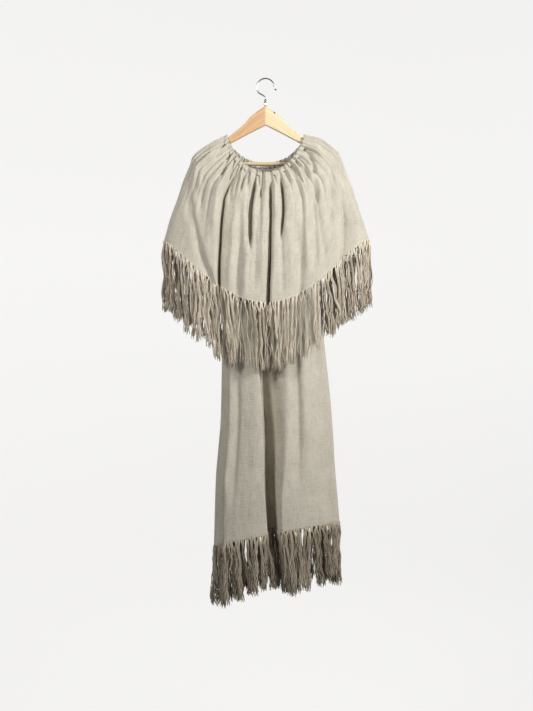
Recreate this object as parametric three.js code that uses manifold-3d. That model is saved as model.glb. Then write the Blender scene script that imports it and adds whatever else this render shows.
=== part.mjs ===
// A linen kaftan with a gathered neck, a fringed shoulder cape and a fringed skirt, on a wooden hanger.
// Millimetres. +Z is up, the front faces -Y, and +X is to the right of someone looking at the front.
// The origin is the underside of the hook's crown, where the hook hangs on a nail or rail.
import * as THREE from "three";
import Module from "manifold-3d";

const wasm = await Module();
wasm.setup();

// Cloth and seams
const WALL = 1.4; // linen, as hung
const SEAM_GAP = 0.35; // between neighbouring hard pieces
const CAPE_SEAM_GAP = 0.8; // between the casing and the cape, along the cloth
const SIDE_GAP = 0.2; // each side of the plane where front meets back
const CAPE_LENGTH = 358; // neck edge to hem, along the cloth
const CASING_HEIGHT = 12;
const CASING_OUT = 0.8; // how far the gathered casing stands out of the cape's outer face
const CASING_IN = 6; // and how far it reaches in, over both layers' edges
const CASING_IN_SHOULDER = 2.6; // the same over the hanger, where only the cape hangs from it
const CASING_RUFFLE = 1.1;
const CASING_CALM = 0.06; // the ruffle dies out this near the shoulders, as a share of half the ring
const CASING_THICKENS = 0.05; // and from here on it thickens towards the dress
const DRESS_INSET = 3.2; // from the cape's outer face to the dress's, at the neck seam
const DRESS_SEAM_GAP = 2; // the dress's edge has fewer points than the casing, so it hangs a little lower

// Gathers: waves across each half of the neck
const FRONT_GATHERS = 26;
const BACK_GATHERS = 24;
const GATHER_SHARE = 0.19; // of a wave's length
const GATHER_MOST = 2.4;
const GATHER_AT_SEAM = 0.5; // of the full height, where the casing holds them
const GATHER_FULL = 0.1; // how far down the cape they stand highest
const GATHER_GONE = 0.42; // and where they have run out
const GATHER_LIFT = 0.4; // how much they puff out rather than in
const GATHER_CALM = 0.04; // they die out this near a side edge

// Folds, as shares of a panel's length or width
const FOLD_RISE = 0.12;
const FOLD_FADE = 0.16;
const FOLD_CALM = 0.05; // they die out this near a side edge
const FOLDS_LEVEL = { from: 0.4, to: 0.9 }; // where they turn level, towards the hem

// Fringe
const STRIP_HEIGHT = 5;
const STRIP_GAP = { even: 0.55, steep: 1.2 }; // below the cloth's edge, straight down
const ROOT_SHARE = 0.7; // how far down the strip the strands begin, clear of the cloth on a steep hem
const STRAND_RADIUS = 2.5;
const STRAND_SIDES = 3;
const STRAND_CLEAR = 6.6; // least distance between two roots, seen from above
const SIDE_LEAN = 0.3; // how much of a strand's lean is sideways, against forwards
const STRAND_RINGS = [
  { along: 0, swell: 0.8 },
  { along: 0.45, swell: 1.1 },
  { along: 1, swell: 0.7 },
];
const LOCK = { size: 4, least: 0.93, lockSpread: 0.1, strandSpread: 0.05, pull: 0.2, sway: 2.2 };
const FRINGES = [
  { name: "cape_fringe_front", sheet: "cape_front", gap: STRIP_GAP.steep, count: 62, length: 178, lean: 9 },
  { name: "cape_fringe_back", sheet: "cape_back", gap: STRIP_GAP.even, count: 50, length: 178, lean: 6 },
  { name: "hem_fringe_front", sheet: "skirt_front", gap: STRIP_GAP.even, count: 43, length: 172, lean: 3 },
  { name: "hem_fringe_back", sheet: "skirt_back", gap: STRIP_GAP.even, count: 32, length: 172, lean: 3 },
];

// Hanger
const ARM_THICK = 12;
const ARM_CHAMFER = 5;
const BAR_RADIUS = 5.2;
const BAR_Z = -232.7;
const BAR_HALF = 184;
const BAR_SIDES = 12;
const WIRE_RADIUS = 1.9;
const WIRE_SIDES = 8;
const HOOK_RADIUS = 24; // of the wire's centreline
const HOOK_CROWN = { from: 225, to: 8, steps: 14 }; // the round part, in degrees, up the left and over
const HOOK_NECK = [
  { x: 0, z: -54.5 },
  { x: -1, z: -50.5 },
  { x: -6, z: -45 },
];
const HOOK_TIP = [
  { x: 26, z: -27.5 },
  { x: 30, z: -30 },
];
const COLLAR_RADIUS = 4.2;
const COLLAR_TOP = -56;
const ARM_PEAK = -73;

// The hanger's arm, from the middle outwards: its top and bottom edges.
const ARM_SECTIONS = [
  { out: 0.2, top: -73, bottom: -127 },
  { out: 8, top: -79, bottom: -131 },
  { out: 27, top: -92.5, bottom: -140.5 },
  { out: 45, top: -109, bottom: -149.5 },
  { out: 60, top: -126, bottom: -157.5 },
  { out: 78, top: -141, bottom: -167 },
  { out: 92, top: -152.5, bottom: -174.5 },
  { out: 104, top: -162, bottom: -181 },
  { out: 122, top: -173.5, bottom: -191 },
  { out: 144, top: -185, bottom: -207 },
  { out: 168, top: -200, bottom: -228 },
  { out: 184, top: -212, bottom: -240.5 },
  { out: 193, top: -220.5, bottom: -244 },
];

// The cape, from the neck edge (down 0) to the hem (down 1). left and right are the edges where front meets
// back: the shoulder line, then the side. The Z of the middle is given front and back. Depths are from the
// hanger's plane. Powers shape how a row sags from its sides to its middle.
const CAPE_SECTIONS = [
  { down: 0, leftX: -106, leftZ: -153, rightX: 106, rightZ: -151.5, frontZ: -269, backZ: -223,
    frontDepth: 50, backDepth: 46, leftPower: 1.4, rightPower: 1.4, backPower: 1.2 },
  { down: 0.12, leftX: -144, leftZ: -172, rightX: 148, rightZ: -163, frontZ: -311, backZ: -266.5,
    frontDepth: 61, backDepth: 54, leftPower: 1.5, rightPower: 1.5, backPower: 1.35 },
  { down: 0.24, leftX: -181, leftZ: -196, rightX: 184, rightZ: -187, frontZ: -353, backZ: -310,
    frontDepth: 72, backDepth: 61, leftPower: 1.6, rightPower: 1.6, backPower: 1.5 },
  { down: 0.31, leftX: -199, leftZ: -214, rightX: 202, rightZ: -206, frontZ: -378, backZ: -335,
    frontDepth: 76, backDepth: 64, leftPower: 1.75, rightPower: 1.75, backPower: 1.65 },
  { down: 0.38, leftX: -209, leftZ: -238, rightX: 212, rightZ: -229, frontZ: -403, backZ: -360.5,
    frontDepth: 79, backDepth: 66, leftPower: 1.9, rightPower: 1.9, backPower: 1.8 },
  { down: 0.5, leftX: -225, leftZ: -277, rightX: 228, rightZ: -270, frontZ: -445, backZ: -404,
    frontDepth: 83, backDepth: 69, leftPower: 2, rightPower: 2.1, backPower: 1.9 },
  { down: 0.67, leftX: -244, leftZ: -335, rightX: 249, rightZ: -331, frontZ: -505, backZ: -465.5,
    frontDepth: 88, backDepth: 72, leftPower: 2.3, rightPower: 2.5, backPower: 2.2 },
  { down: 0.84, leftX: -264, leftZ: -392, rightX: 268, rightZ: -389, frontZ: -565, backZ: -527,
    frontDepth: 91, backDepth: 74, leftPower: 2.5, rightPower: 2.8, backPower: 2.5 },
  { down: 1, leftX: -280, leftZ: -448, rightX: 286, rightZ: -445, frontZ: -621, backZ: -585,
    frontDepth: 92, backDepth: 75, leftPower: 2.6, rightPower: 3.1, backPower: 2.7 },
];

// The dress under it, from the neck seam to the hem. It has armholes down to the third row, and edge is how
// far their edges stand from the middle plane. From there down the sides are sewn.
const DRESS_SECTIONS = [
  { down: 0, leftX: -98, leftZ: -184, rightX: 98, rightZ: -182, frontZ: -282, backZ: -245,
    frontDepth: 44, backDepth: 42, edge: 19 },
  { down: 0.1, leftX: -100, leftZ: -268, rightX: 104, rightZ: -266, frontZ: -352, backZ: -325,
    frontDepth: 39, backDepth: 38, edge: 16 },
  { down: 0.2, leftX: -108, leftZ: -388, rightX: 124, rightZ: -384, frontZ: -450, backZ: -436,
    frontDepth: 38, backDepth: 37, edge: SIDE_GAP },
  { down: 0.35, leftX: -113, leftZ: -520, rightX: 140, rightZ: -512, frontZ: -572, backZ: -562,
    frontDepth: 40, backDepth: 38, edge: SIDE_GAP },
  { down: 0.5, leftX: -117, leftZ: -660, rightX: 153, rightZ: -648, frontZ: -698, backZ: -688,
    frontDepth: 47, backDepth: 41, edge: SIDE_GAP },
  { down: 0.62, leftX: -120, leftZ: -780, rightX: 166, rightZ: -764, frontZ: -806, backZ: -796,
    frontDepth: 52, backDepth: 44, edge: SIDE_GAP },
  { down: 0.75, leftX: -123, leftZ: -925, rightX: 180, rightZ: -900, frontZ: -938, backZ: -928,
    frontDepth: 56, backDepth: 48, edge: SIDE_GAP },
  { down: 0.88, leftX: -137, leftZ: -1105, rightX: 191, rightZ: -1064, frontZ: -1096, backZ: -1084,
    frontDepth: 60, backDepth: 52, edge: SIDE_GAP },
  { down: 1, leftX: -142, leftZ: -1284, rightX: 204, rightZ: -1219, frontZ: -1236, backZ: -1226,
    frontDepth: 62, backDepth: 54, edge: SIDE_GAP },
];
const ARMHOLE_DOWN = 0.2;
const WAIST_DOWN = 0.35; // the seam between bodice and skirt, hidden under the cape and its fringe
const WAIST_GAP = 0.0006; // there, as a share of the dress's length: about 0.35 mm square to the edges
const DRESS_POWER = 1.3;
const NECK_TURN = 0.14; // the share of each half of the neck seam, at both ends, that the dress leaves open
const NECK_BLEND = 0.12; // how far down the dress follows the neck seam's curve

// Folds: troughs that run down from one row to another, and from a start to an end across the panel, which is
// 0 at the left edge and 1 at the right. Width is half the trough's. A cut fold needs columns of its own.
const CAPE_FRONT_FOLDS = [
  { from: 0.3, start: 0.05, to: 1, end: 0.325, depth: 9, endDepth: 14, width: 20 },
  { from: 0.04, start: 0.283, to: 1, end: 0.34, depth: 17, endDepth: 26, width: 9, cut: true },
  { from: 0.2, start: 0.385, to: 1, end: 0.41, depth: 5, endDepth: 8, width: 18 },
  { from: 0.04, start: 0.429, to: 0.64, end: 0.442, depth: 16, endDepth: 18, width: 8, cut: true },
  { from: 0.04, start: 0.521, to: 1, end: 0.506, depth: 17, endDepth: 30, width: 9, cut: true },
  { from: 0.04, start: 0.594, to: 0.6, end: 0.553, depth: 16, endDepth: 20, width: 8, cut: true },
  { from: 0.15, start: 0.66, to: 1, end: 0.6, depth: 4, endDepth: 7, width: 16 },
  { from: 0.2, start: 0.715, to: 0.92, end: 0.66, depth: 6, endDepth: 6, width: 13 },
  { from: 0.04, start: 0.8, to: 0.46, end: 0.705, depth: 12, endDepth: 12, width: 9 },
  { from: 0.25, start: 0.9, to: 0.72, end: 0.71, depth: 8, endDepth: 9, width: 18 },
  { from: 0.33, start: 0.92, to: 1, end: 0.765, depth: 9, endDepth: 22, width: 20 },
];
const CAPE_BACK_FOLDS = [
  { from: 0.08, start: 0.22, to: 1, end: 0.27, depth: 10, endDepth: 16, width: 16 },
  { from: 0.08, start: 0.4, to: 0.8, end: 0.4, depth: 12, endDepth: 12, width: 12 },
  { from: 0.08, start: 0.53, to: 1, end: 0.54, depth: 12, endDepth: 19, width: 14 },
  { from: 0.08, start: 0.67, to: 0.7, end: 0.65, depth: 11, endDepth: 11, width: 12 },
  { from: 0.1, start: 0.8, to: 1, end: 0.76, depth: 9, endDepth: 15, width: 18 },
];
const DRESS_FRONT_FOLDS = [
  { from: 0.58, start: 0.1, to: 1, end: 0.095, depth: 5, endDepth: 13, width: 11 },
  { from: 0.5, start: 0.22, to: 0.94, end: 0.23, depth: 6, endDepth: 5, width: 12 },
  { from: 0.48, start: 0.65, to: 0.92, end: 0.62, depth: 7, endDepth: 6, width: 13 },
  { from: 0.5, start: 0.82, to: 1, end: 0.84, depth: 3, endDepth: 6, width: 20 },
];
const DRESS_BACK_FOLDS = [
  { from: 0.45, start: 0.28, to: 1, end: 0.26, depth: 6, endDepth: 14, width: 16 },
  { from: 0.45, start: 0.55, to: 1, end: 0.57, depth: 7, endDepth: 18, width: 18 },
  { from: 0.5, start: 0.78, to: 1, end: 0.8, depth: 5, endDepth: 12, width: 16 },
];

// The skirt's middle pleat, which opens out towards the hem: the fold's depth and half width by row.
const PLEAT_ACROSS = { top: 0.505, hem: 0.484 };
const PLEAT_ROWS = [
  { down: 0.5, depth: 0, width: 42 },
  { down: 0.62, depth: 9, width: 37 },
  { down: 0.68, depth: 18, width: 29 },
  { down: 0.8, depth: 42, width: 20 },
  { down: 1, depth: 76, width: 15.5 },
];
const PLEAT_BOTTOM_SHARE = 0.16; // of its half width, at the pleat's bottom

// Small sums

const lerp = (a, b, t) => a + (b - a) * t;

function smooth(low, high, value) {
  const t = Math.min(1, Math.max(0, (value - low) / (high - low)));
  return t * t * (3 - 2 * t);
}

// A steady number from 0 to 1 for each pair of whole numbers.
function scatter(i, k) {
  const wild = Math.sin(i * 12.9898 + k * 78.233) * 43758.5453;
  return wild - Math.floor(wild);
}

// Reads one column of a table at any row: a cubic that never overshoots the rows.
function reader(rows, key) {
  const x = rows.map((row) => row.down);
  const y = rows.map((row) => row[key]);
  const slope = x.slice(1).map((end, i) => (y[i + 1] - y[i]) / (end - x[i]));
  const tangent = y.map((_, i) => {
    if (i === 0) return slope[0];
    if (i === y.length - 1) return slope[i - 1];
    const [before, after] = [slope[i - 1], slope[i]];
    return before * after <= 0 ? 0 : (2 * before * after) / (before + after);
  });
  return (at) => {
    const place = Math.min(x[x.length - 1], Math.max(x[0], at));
    let i = 0;
    while (i < x.length - 2 && place > x[i + 1]) i += 1;
    const step = x[i + 1] - x[i];
    const t = (place - x[i]) / step;
    const [a, b] = [t * t * (3 - 2 * t), t * (1 - t) * (1 - t)];
    const c = -t * t * (1 - t);
    return lerp(y[i], y[i + 1], a) + step * (b * tangent[i] + c * tangent[i + 1]);
  };
}

function readers(rows) {
  const keys = Object.keys(rows[0]).filter((key) => key !== "down");
  return Object.fromEntries(keys.map((key) => [key, reader(rows, key)]));
}

// Surfaces. across runs 0 to 1 from the left edge to the right one, and down from the neck to the hem.

const cape = readers(CAPE_SECTIONS);
const dress = readers(DRESS_SECTIONS);
const pleat = readers(PLEAT_ROWS);

function row(table, back, across, down, edge, power) {
  const turn = Math.PI * across;
  const share = (1 - Math.cos(turn)) / 2;
  const bulge = Math.sin(turn);
  const sides = lerp(table.leftZ(down), table.rightZ(down), share);
  const middle = back ? table.backZ(down) : table.frontZ(down);
  const sag = (table.leftZ(down) + table.rightZ(down)) / 2 - middle;
  const depth = back ? table.backDepth(down) : table.frontDepth(down);
  const y = edge + (depth - edge) * bulge;
  return new THREE.Vector3(
    lerp(table.leftX(down), table.rightX(down), share),
    back ? y : -y,
    sides - sag * Math.pow(Math.max(0, bulge), power),
  );
}

function capeBase(back, across, down) {
  const share = (1 - Math.cos(Math.PI * across)) / 2;
  const power = back ? cape.backPower(down) : lerp(cape.leftPower(down), cape.rightPower(down), share);
  return row(cape, back, across, down, SIDE_GAP, power);
}

function dressBase(back, across, down) {
  const hung = row(dress, back, across, down, dress.edge(down), DRESS_POWER);
  const blend = 1 - smooth(0, NECK_BLEND, down);
  if (blend === 0) return hung;
  const neckAcross = lerp(NECK_TURN, 1 - NECK_TURN, across);
  const inside = capeBase(back, neckAcross, DRESS_SEAM_DOWN);
  inside.addScaledVector(normalOf(capeBase, back, neckAcross, DRESS_SEAM_DOWN), -DRESS_INSET);
  return hung.add(inside.sub(row(dress, back, across, 0, dress.edge(0), DRESS_POWER)).multiplyScalar(blend));
}

const NORMAL_STEP = 0.004;

// The outward normal of a surface, from four points around the place.
function normalOf(surface, back, across, down) {
  const step = NORMAL_STEP;
  const [left, right] = [Math.max(0, across - step), Math.min(1, across + step)];
  const [above, below] = [Math.max(0, down - step), Math.min(1, down + step)];
  const along = surface(back, right, down).sub(surface(back, left, down));
  const drop = surface(back, across, below).sub(surface(back, across, above));
  const normal = drop.cross(along).multiplyScalar(back ? -1 : 1);
  if (across < step || across > 1 - step) normal.y = 0;
  return normal.normalize();
}

// Millimetres of cloth for each unit of across, seen from above.
function stretch(table, back, across, down) {
  const half = (table.rightX(down) - table.leftX(down)) / 2;
  const depth = back ? table.backDepth(down) : table.frontDepth(down);
  return Math.PI * Math.hypot(half * Math.sin(Math.PI * across), depth * Math.cos(Math.PI * across));
}

const foldPlace = (fold, down) => lerp(fold.start, fold.end, (down - fold.from) / (fold.to - fold.from));

function foldDepth(fold, down) {
  const rise = smooth(fold.from, fold.from + FOLD_RISE, down);
  const fade = fold.to < 1 ? 1 - smooth(fold.to - FOLD_FADE, fold.to, down) : 1;
  const share = Math.min(1, Math.max(0, (down - fold.from) / (fold.to - fold.from)));
  return lerp(fold.depth, fold.endDepth, share) * rise * fade;
}

// 1 over a panel, and 0 at the edges where front meets back.
const calm = (share, across) => smooth(0, share, across) * smooth(0, share, 1 - across);

function troughs(folds, table, back, across, down) {
  const wide = stretch(table, back, across, down);
  let sum = 0;
  for (const fold of folds) {
    const off = ((across - foldPlace(fold, down)) * wide) / fold.width;
    sum -= foldDepth(fold, down) * Math.exp(-off * off);
  }
  return sum * calm(FOLD_CALM, across);
}

function gathers(count, back, column, across, down) {
  const wave = stretch(cape, back, across, down) / count;
  const rise = lerp(GATHER_AT_SEAM, 1, smooth(SEAM_DOWN, GATHER_FULL, down));
  const fade = 1 - smooth(GATHER_FULL, GATHER_GONE, down);
  const height = Math.min(GATHER_MOST, GATHER_SHARE * wave) * rise * fade * calm(GATHER_CALM, column);
  return height * (GATHER_LIFT + Math.cos(2 * Math.PI * count * column));
}

function pleatDepth(column, across, down) {
  const place = lerp(PLEAT_ACROSS.top, PLEAT_ACROSS.hem, smooth(PLEAT_ROWS[0].down, 1, down));
  const off = Math.abs(across - place) * stretch(dress, false, across, down);
  const width = pleat.width(down);
  return -pleat.depth(down) * (1 - smooth(width * PLEAT_BOTTOM_SHARE, width, off));
}

// A cloth panel's outer face: the base surface, moved by its folds. They go along its normal, and level towards
// the hem, so the hem keeps its line.
function faceOf(base, table, back, folds, extra) {
  return (column, down) => {
    const across = slide(column, folds, down);
    const out = troughs(folds, table, back, across, down) + extra(column, across, down);
    const normal = normalOf(base, back, across, down);
    normal.z *= 1 - smooth(FOLDS_LEVEL.from, FOLDS_LEVEL.to, down);
    return base(back, across, down).addScaledVector(normal.normalize(), out);
  };
}

const SEAM_DOWN = (CASING_HEIGHT + CAPE_SEAM_GAP) / CAPE_LENGTH;
const DRESS_SEAM_DOWN = (CASING_HEIGHT + DRESS_SEAM_GAP) / CAPE_LENGTH;
const frontGathers = (column, across, down) => gathers(FRONT_GATHERS, false, column, across, down);
const backGathers = (column, across, down) => gathers(BACK_GATHERS, true, column, across, down);
const faces = {
  capeFront: faceOf(capeBase, cape, false, CAPE_FRONT_FOLDS, frontGathers),
  capeBack: faceOf(capeBase, cape, true, CAPE_BACK_FOLDS, backGathers),
  dressFront: faceOf(dressBase, dress, false, DRESS_FRONT_FOLDS, pleatDepth),
  dressBack: faceOf(dressBase, dress, true, DRESS_BACK_FOLDS, () => 0),
};

// Columns: where a panel's grid lines cross it. Even ones give way to those a deep fold needs.

const CUT_COLUMNS = [-0.02, -0.009, 0, 0.009, 0.02]; // around a cut fold's middle
const PLEAT_COLUMNS = [-0.046, -0.029, -0.016, -0.0045, 0.0045, 0.016, 0.029, 0.046]; // around the pleat's
const COLUMN_CLEAR = 0.0065;

function columns(count, wanted) {
  const even = Array.from({ length: count + 1 }, (_, i) => i / count);
  const kept = even.filter((at) => wanted.every((other) => Math.abs(at - other) > COLUMN_CLEAR));
  return [...kept, ...wanted].sort((a, b) => a - b);
}

const cutFolds = CAPE_FRONT_FOLDS.filter((fold) => fold.cut);
const atCuts = cutFolds.flatMap((fold) => CUT_COLUMNS.map((off) => fold.end + off));
const atPleat = PLEAT_COLUMNS.map((off) => PLEAT_ACROSS.hem + off);

// A column's place in a row: columns slide with the cut folds, which lean as they come down.
function slide(column, folds, down) {
  const cuts = folds.filter((fold) => fold.cut);
  const from = [0, ...cuts.map((fold) => fold.end), 1];
  const to = [0, ...cuts.map((fold) => foldPlace(fold, down)), 1];
  let i = 0;
  while (i < from.length - 2 && column > from[i + 1]) i += 1;
  return lerp(to[i], to[i + 1], (column - from[i]) / (from[i + 1] - from[i]));
}

// Solids

// A closed wall from a grid of outer points and one of inner points, each [row][column].
function wallOf(outer, inner) {
  const [rows, cols] = [outer.length, outer[0].length];
  const points = [...outer.flat(), ...inner.flat()];
  const at = (layer, r, c) => (layer * rows + r) * cols + c;
  const faceList = [];
  const quad = (a, b, c, d) => faceList.push(a, b, c, a, c, d);
  for (let r = 0; r < rows - 1; r += 1) {
    for (let c = 0; c < cols - 1; c += 1) {
      quad(at(0, r, c), at(0, r + 1, c), at(0, r + 1, c + 1), at(0, r, c + 1));
      quad(at(1, r, c), at(1, r, c + 1), at(1, r + 1, c + 1), at(1, r + 1, c));
    }
  }
  for (let r = 0; r < rows - 1; r += 1) {
    quad(at(0, r, 0), at(1, r, 0), at(1, r + 1, 0), at(0, r + 1, 0));
    quad(at(0, r, cols - 1), at(0, r + 1, cols - 1), at(1, r + 1, cols - 1), at(1, r, cols - 1));
  }
  for (let c = 0; c < cols - 1; c += 1) {
    quad(at(0, 0, c), at(0, 0, c + 1), at(1, 0, c + 1), at(1, 0, c));
    quad(at(0, rows - 1, c), at(1, rows - 1, c), at(1, rows - 1, c + 1), at(0, rows - 1, c + 1));
  }
  return solidOf(points, faceList);
}

// A manifold solid from points and triangle corners, turned right side out.
function solidOf(points, corners) {
  const properties = new Float32Array(points.flatMap((point) => [point.x, point.y, point.z]));
  const make = (list) => {
    const mesh = { numProp: 3, vertProperties: properties, triVerts: new Uint32Array(list) };
    return new wasm.Manifold(new wasm.Mesh(mesh));
  };
  const made = make(corners);
  if (made.volume() > 0) return made;
  const flipped = [];
  for (let i = 0; i < corners.length; i += 3) flipped.push(corners[i], corners[i + 2], corners[i + 1]);
  return make(flipped);
}

// The normals of a grid of points, [row][column], pointing away from the garment's middle plane.
function gridNormals(grid, back, seamedEdges) {
  const [rows, cols] = [grid.length, grid[0].length];
  return grid.map((line, r) =>
    line.map((_, c) => {
      const along = grid[r][Math.min(cols - 1, c + 1)].clone().sub(grid[r][Math.max(0, c - 1)]);
      const drop = grid[Math.min(rows - 1, r + 1)][c].clone().sub(grid[Math.max(0, r - 1)][c]);
      const normal = drop.cross(along).multiplyScalar(back ? -1 : 1);
      if (seamedEdges(r) && (c === 0 || c === cols - 1)) normal.y = 0;
      return normal.normalize();
    }),
  );
}

function panel(face, back, columnList, downs, seamedFrom) {
  const outer = downs.map((down) => columnList.map((column) => face(column, down)));
  const normals = gridNormals(outer, back, (r) => downs[r] >= seamedFrom);
  const inner = outer.map((line, r) =>
    line.map((point, c) => point.clone().addScaledVector(normals[r][c], -WALL)),
  );
  const hem = outer.length - 1;
  return { solid: wallOf(outer, inner), hem: outer[hem], hemNormals: normals[hem] };
}

// The neck casing: one ring, gathered on its elastic, that runs over both arms of the hanger.
function casing() {
  const half = (back, count, folds) =>
    Array.from({ length: 2 * count }, (_, i) => {
      const column = i / (2 * count);
      const across = slide(back ? 1 - column : column, folds, SEAM_DOWN);
      return { back, across, crest: i % 2 ? -1 : 1 };
    });
  const ring = [...half(false, FRONT_GATHERS, CAPE_FRONT_FOLDS), ...half(true, BACK_GATHERS, CAPE_BACK_FOLDS)];
  const points = ring.flatMap(({ back, across, crest }) => {
    const ruffle = crest * CASING_RUFFLE * calm(CASING_CALM, across);
    const thick = smooth(CASING_THICKENS, NECK_TURN, across) * smooth(CASING_THICKENS, NECK_TURN, 1 - across);
    const out = ruffle + CASING_OUT;
    const inside = ruffle - lerp(CASING_IN_SHOULDER, CASING_IN, thick);
    const [top, bottom] = [0, CASING_HEIGHT / CAPE_LENGTH].map((down) => {
      const point = capeBase(back, across, down);
      if (across === 0 || across === 1) point.y = 0;
      return { point, normal: normalOf(capeBase, back, across, down) };
    });
    return [
      top.point.clone().addScaledVector(top.normal, out),
      bottom.point.clone().addScaledVector(bottom.normal, out),
      bottom.point.clone().addScaledVector(bottom.normal, inside),
      top.point.clone().addScaledVector(top.normal, inside),
    ];
  });
  return tubeRing(points, ring.length, 4);
}

// A closed ring of sections, each of the same number of points.
function tubeRing(points, sections, sides) {
  const corners = [];
  for (let i = 0; i < sections; i += 1) {
    for (let k = 0; k < sides; k += 1) {
      const [a, b] = [i * sides + k, i * sides + ((k + 1) % sides)];
      const [c, d] = [((i + 1) % sections) * sides + k, ((i + 1) % sections) * sides + ((k + 1) % sides)];
      corners.push(a, b, d, a, d, c);
    }
  }
  return solidOf(points, corners);
}

// An open run of sections with flat ends.
function rod(sections) {
  const sides = sections[0].length;
  const corners = [];
  const last = (sections.length - 1) * sides;
  for (let i = 0; i < sections.length - 1; i += 1) {
    for (let k = 0; k < sides; k += 1) {
      const [a, b] = [i * sides + k, i * sides + ((k + 1) % sides)];
      corners.push(a, a + sides, b + sides, a, b + sides, b);
    }
  }
  for (let k = 1; k < sides - 1; k += 1) {
    corners.push(0, k, k + 1, last, last + k + 1, last + k);
  }
  return solidOf(sections.flat(), corners);
}

// Fringe

// Places for strands along a hem, evenly spaced seen from above, none closer than two strands can hang.
function strandRoots(hem, count) {
  const plan = (a, b) => Math.hypot(a.x - b.x, a.y - b.y);
  const run = [0];
  for (let i = 1; i < hem.length; i += 1) run.push(run[i - 1] + plan(hem[i], hem[i - 1]));
  const roots = [];
  for (let n = 0; n < count; n += 1) {
    const want = (run[run.length - 1] * (n + 0.5)) / count;
    let i = 1;
    while (run[i] < want) i += 1;
    const point = hem[i - 1].clone().lerp(hem[i], (want - run[i - 1]) / (run[i] - run[i - 1]));
    if (roots.every((root) => plan(root.point, point) > STRAND_CLEAR)) roots.push({ point, n });
  }
  return roots;
}

// Strands hang in locks, drawn a little together towards their ends.
function strand(root, roots, spec) {
  const lock = Math.floor(root.n / LOCK.size);
  const mates = roots.filter((other) => Math.floor(other.n / LOCK.size) === lock);
  const middle = new THREE.Vector3();
  for (const mate of mates) middle.addScaledVector(mate.point, 1 / mates.length);
  const spare = LOCK.lockSpread * scatter(lock, spec.seed) + LOCK.strandSpread * scatter(root.n, spec.seed + 1);
  const length = spec.length * (LOCK.least + spare);
  const pull = LOCK.pull * (1 + scatter(lock, spec.seed + 2) / 2);
  const sway = LOCK.sway * (scatter(lock, spec.seed + 3) - 0.5);
  const inward = new THREE.Vector3(-root.point.x * SIDE_LEAN, -root.point.y, 0).setLength(spec.lean);
  const drift = middle.sub(root.point).multiplyScalar(pull).add(inward);
  const sections = STRAND_RINGS.map(({ along, swell }) => {
    const eased = smooth(0, 1, along);
    const centre = new THREE.Vector3(
      root.point.x + drift.x * eased + sway * eased,
      root.point.y + drift.y * eased,
      root.point.z - STRIP_HEIGHT * ROOT_SHARE - along * length,
    );
    return Array.from({ length: STRAND_SIDES }, (_, k) => {
      const turn = (2 * Math.PI * k) / STRAND_SIDES + root.n;
      return new THREE.Vector3(
        centre.x + STRAND_RADIUS * swell * Math.cos(turn),
        centre.y + STRAND_RADIUS * swell * Math.sin(turn),
        centre.z,
      );
    });
  });
  return rod(sections);
}

// A hem's fringe: a narrow strip just below the cloth's edge, with its strands fused to it.
function fringe(sheet, spec) {
  const level = (drop, out) =>
    sheet.hem.map((point, c) => {
      const moved = point.clone().addScaledVector(sheet.hemNormals[c], out);
      moved.z -= spec.gap + drop;
      return moved;
    });
  const strip = wallOf([level(0, 0), level(STRIP_HEIGHT, 0)], [level(0, -WALL), level(STRIP_HEIGHT, -WALL)]);
  const middleLine = level(0, -WALL / 2);
  const roots = strandRoots(middleLine, spec.count);
  const strands = roots.map((root) => strand(root, roots, spec));
  return wasm.Manifold.union([strip, ...strands]);
}

// Hanger

// Half of the hanger's wood: an eight-sided section that follows the arm's table, side is -1 or 1.
function arm(side) {
  const half = ARM_THICK / 2;
  const sections = ARM_SECTIONS.map(({ out, top, bottom }) => {
    const cut = Math.min(ARM_CHAMFER, (top - bottom) / 3);
    return [
      [-half + cut, top], [half - cut, top], [half, top - cut], [half, bottom + cut],
      [half - cut, bottom], [-half + cut, bottom], [-half, bottom + cut], [-half, top - cut],
    ].map(([y, z]) => new THREE.Vector3(side * out, y, z));
  });
  const hole = barRod(BAR_HALF + SEAM_GAP, BAR_RADIUS + SEAM_GAP);
  return rod(sections).subtract(hole);
}

function barRod(half, radius) {
  const section = (x) =>
    Array.from({ length: BAR_SIDES }, (_, k) => {
      const turn = (2 * Math.PI * (k + 0.5)) / BAR_SIDES;
      return new THREE.Vector3(x, radius * Math.cos(turn), BAR_Z + radius * Math.sin(turn));
    });
  return rod([section(-half), section(half)]);
}

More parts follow.
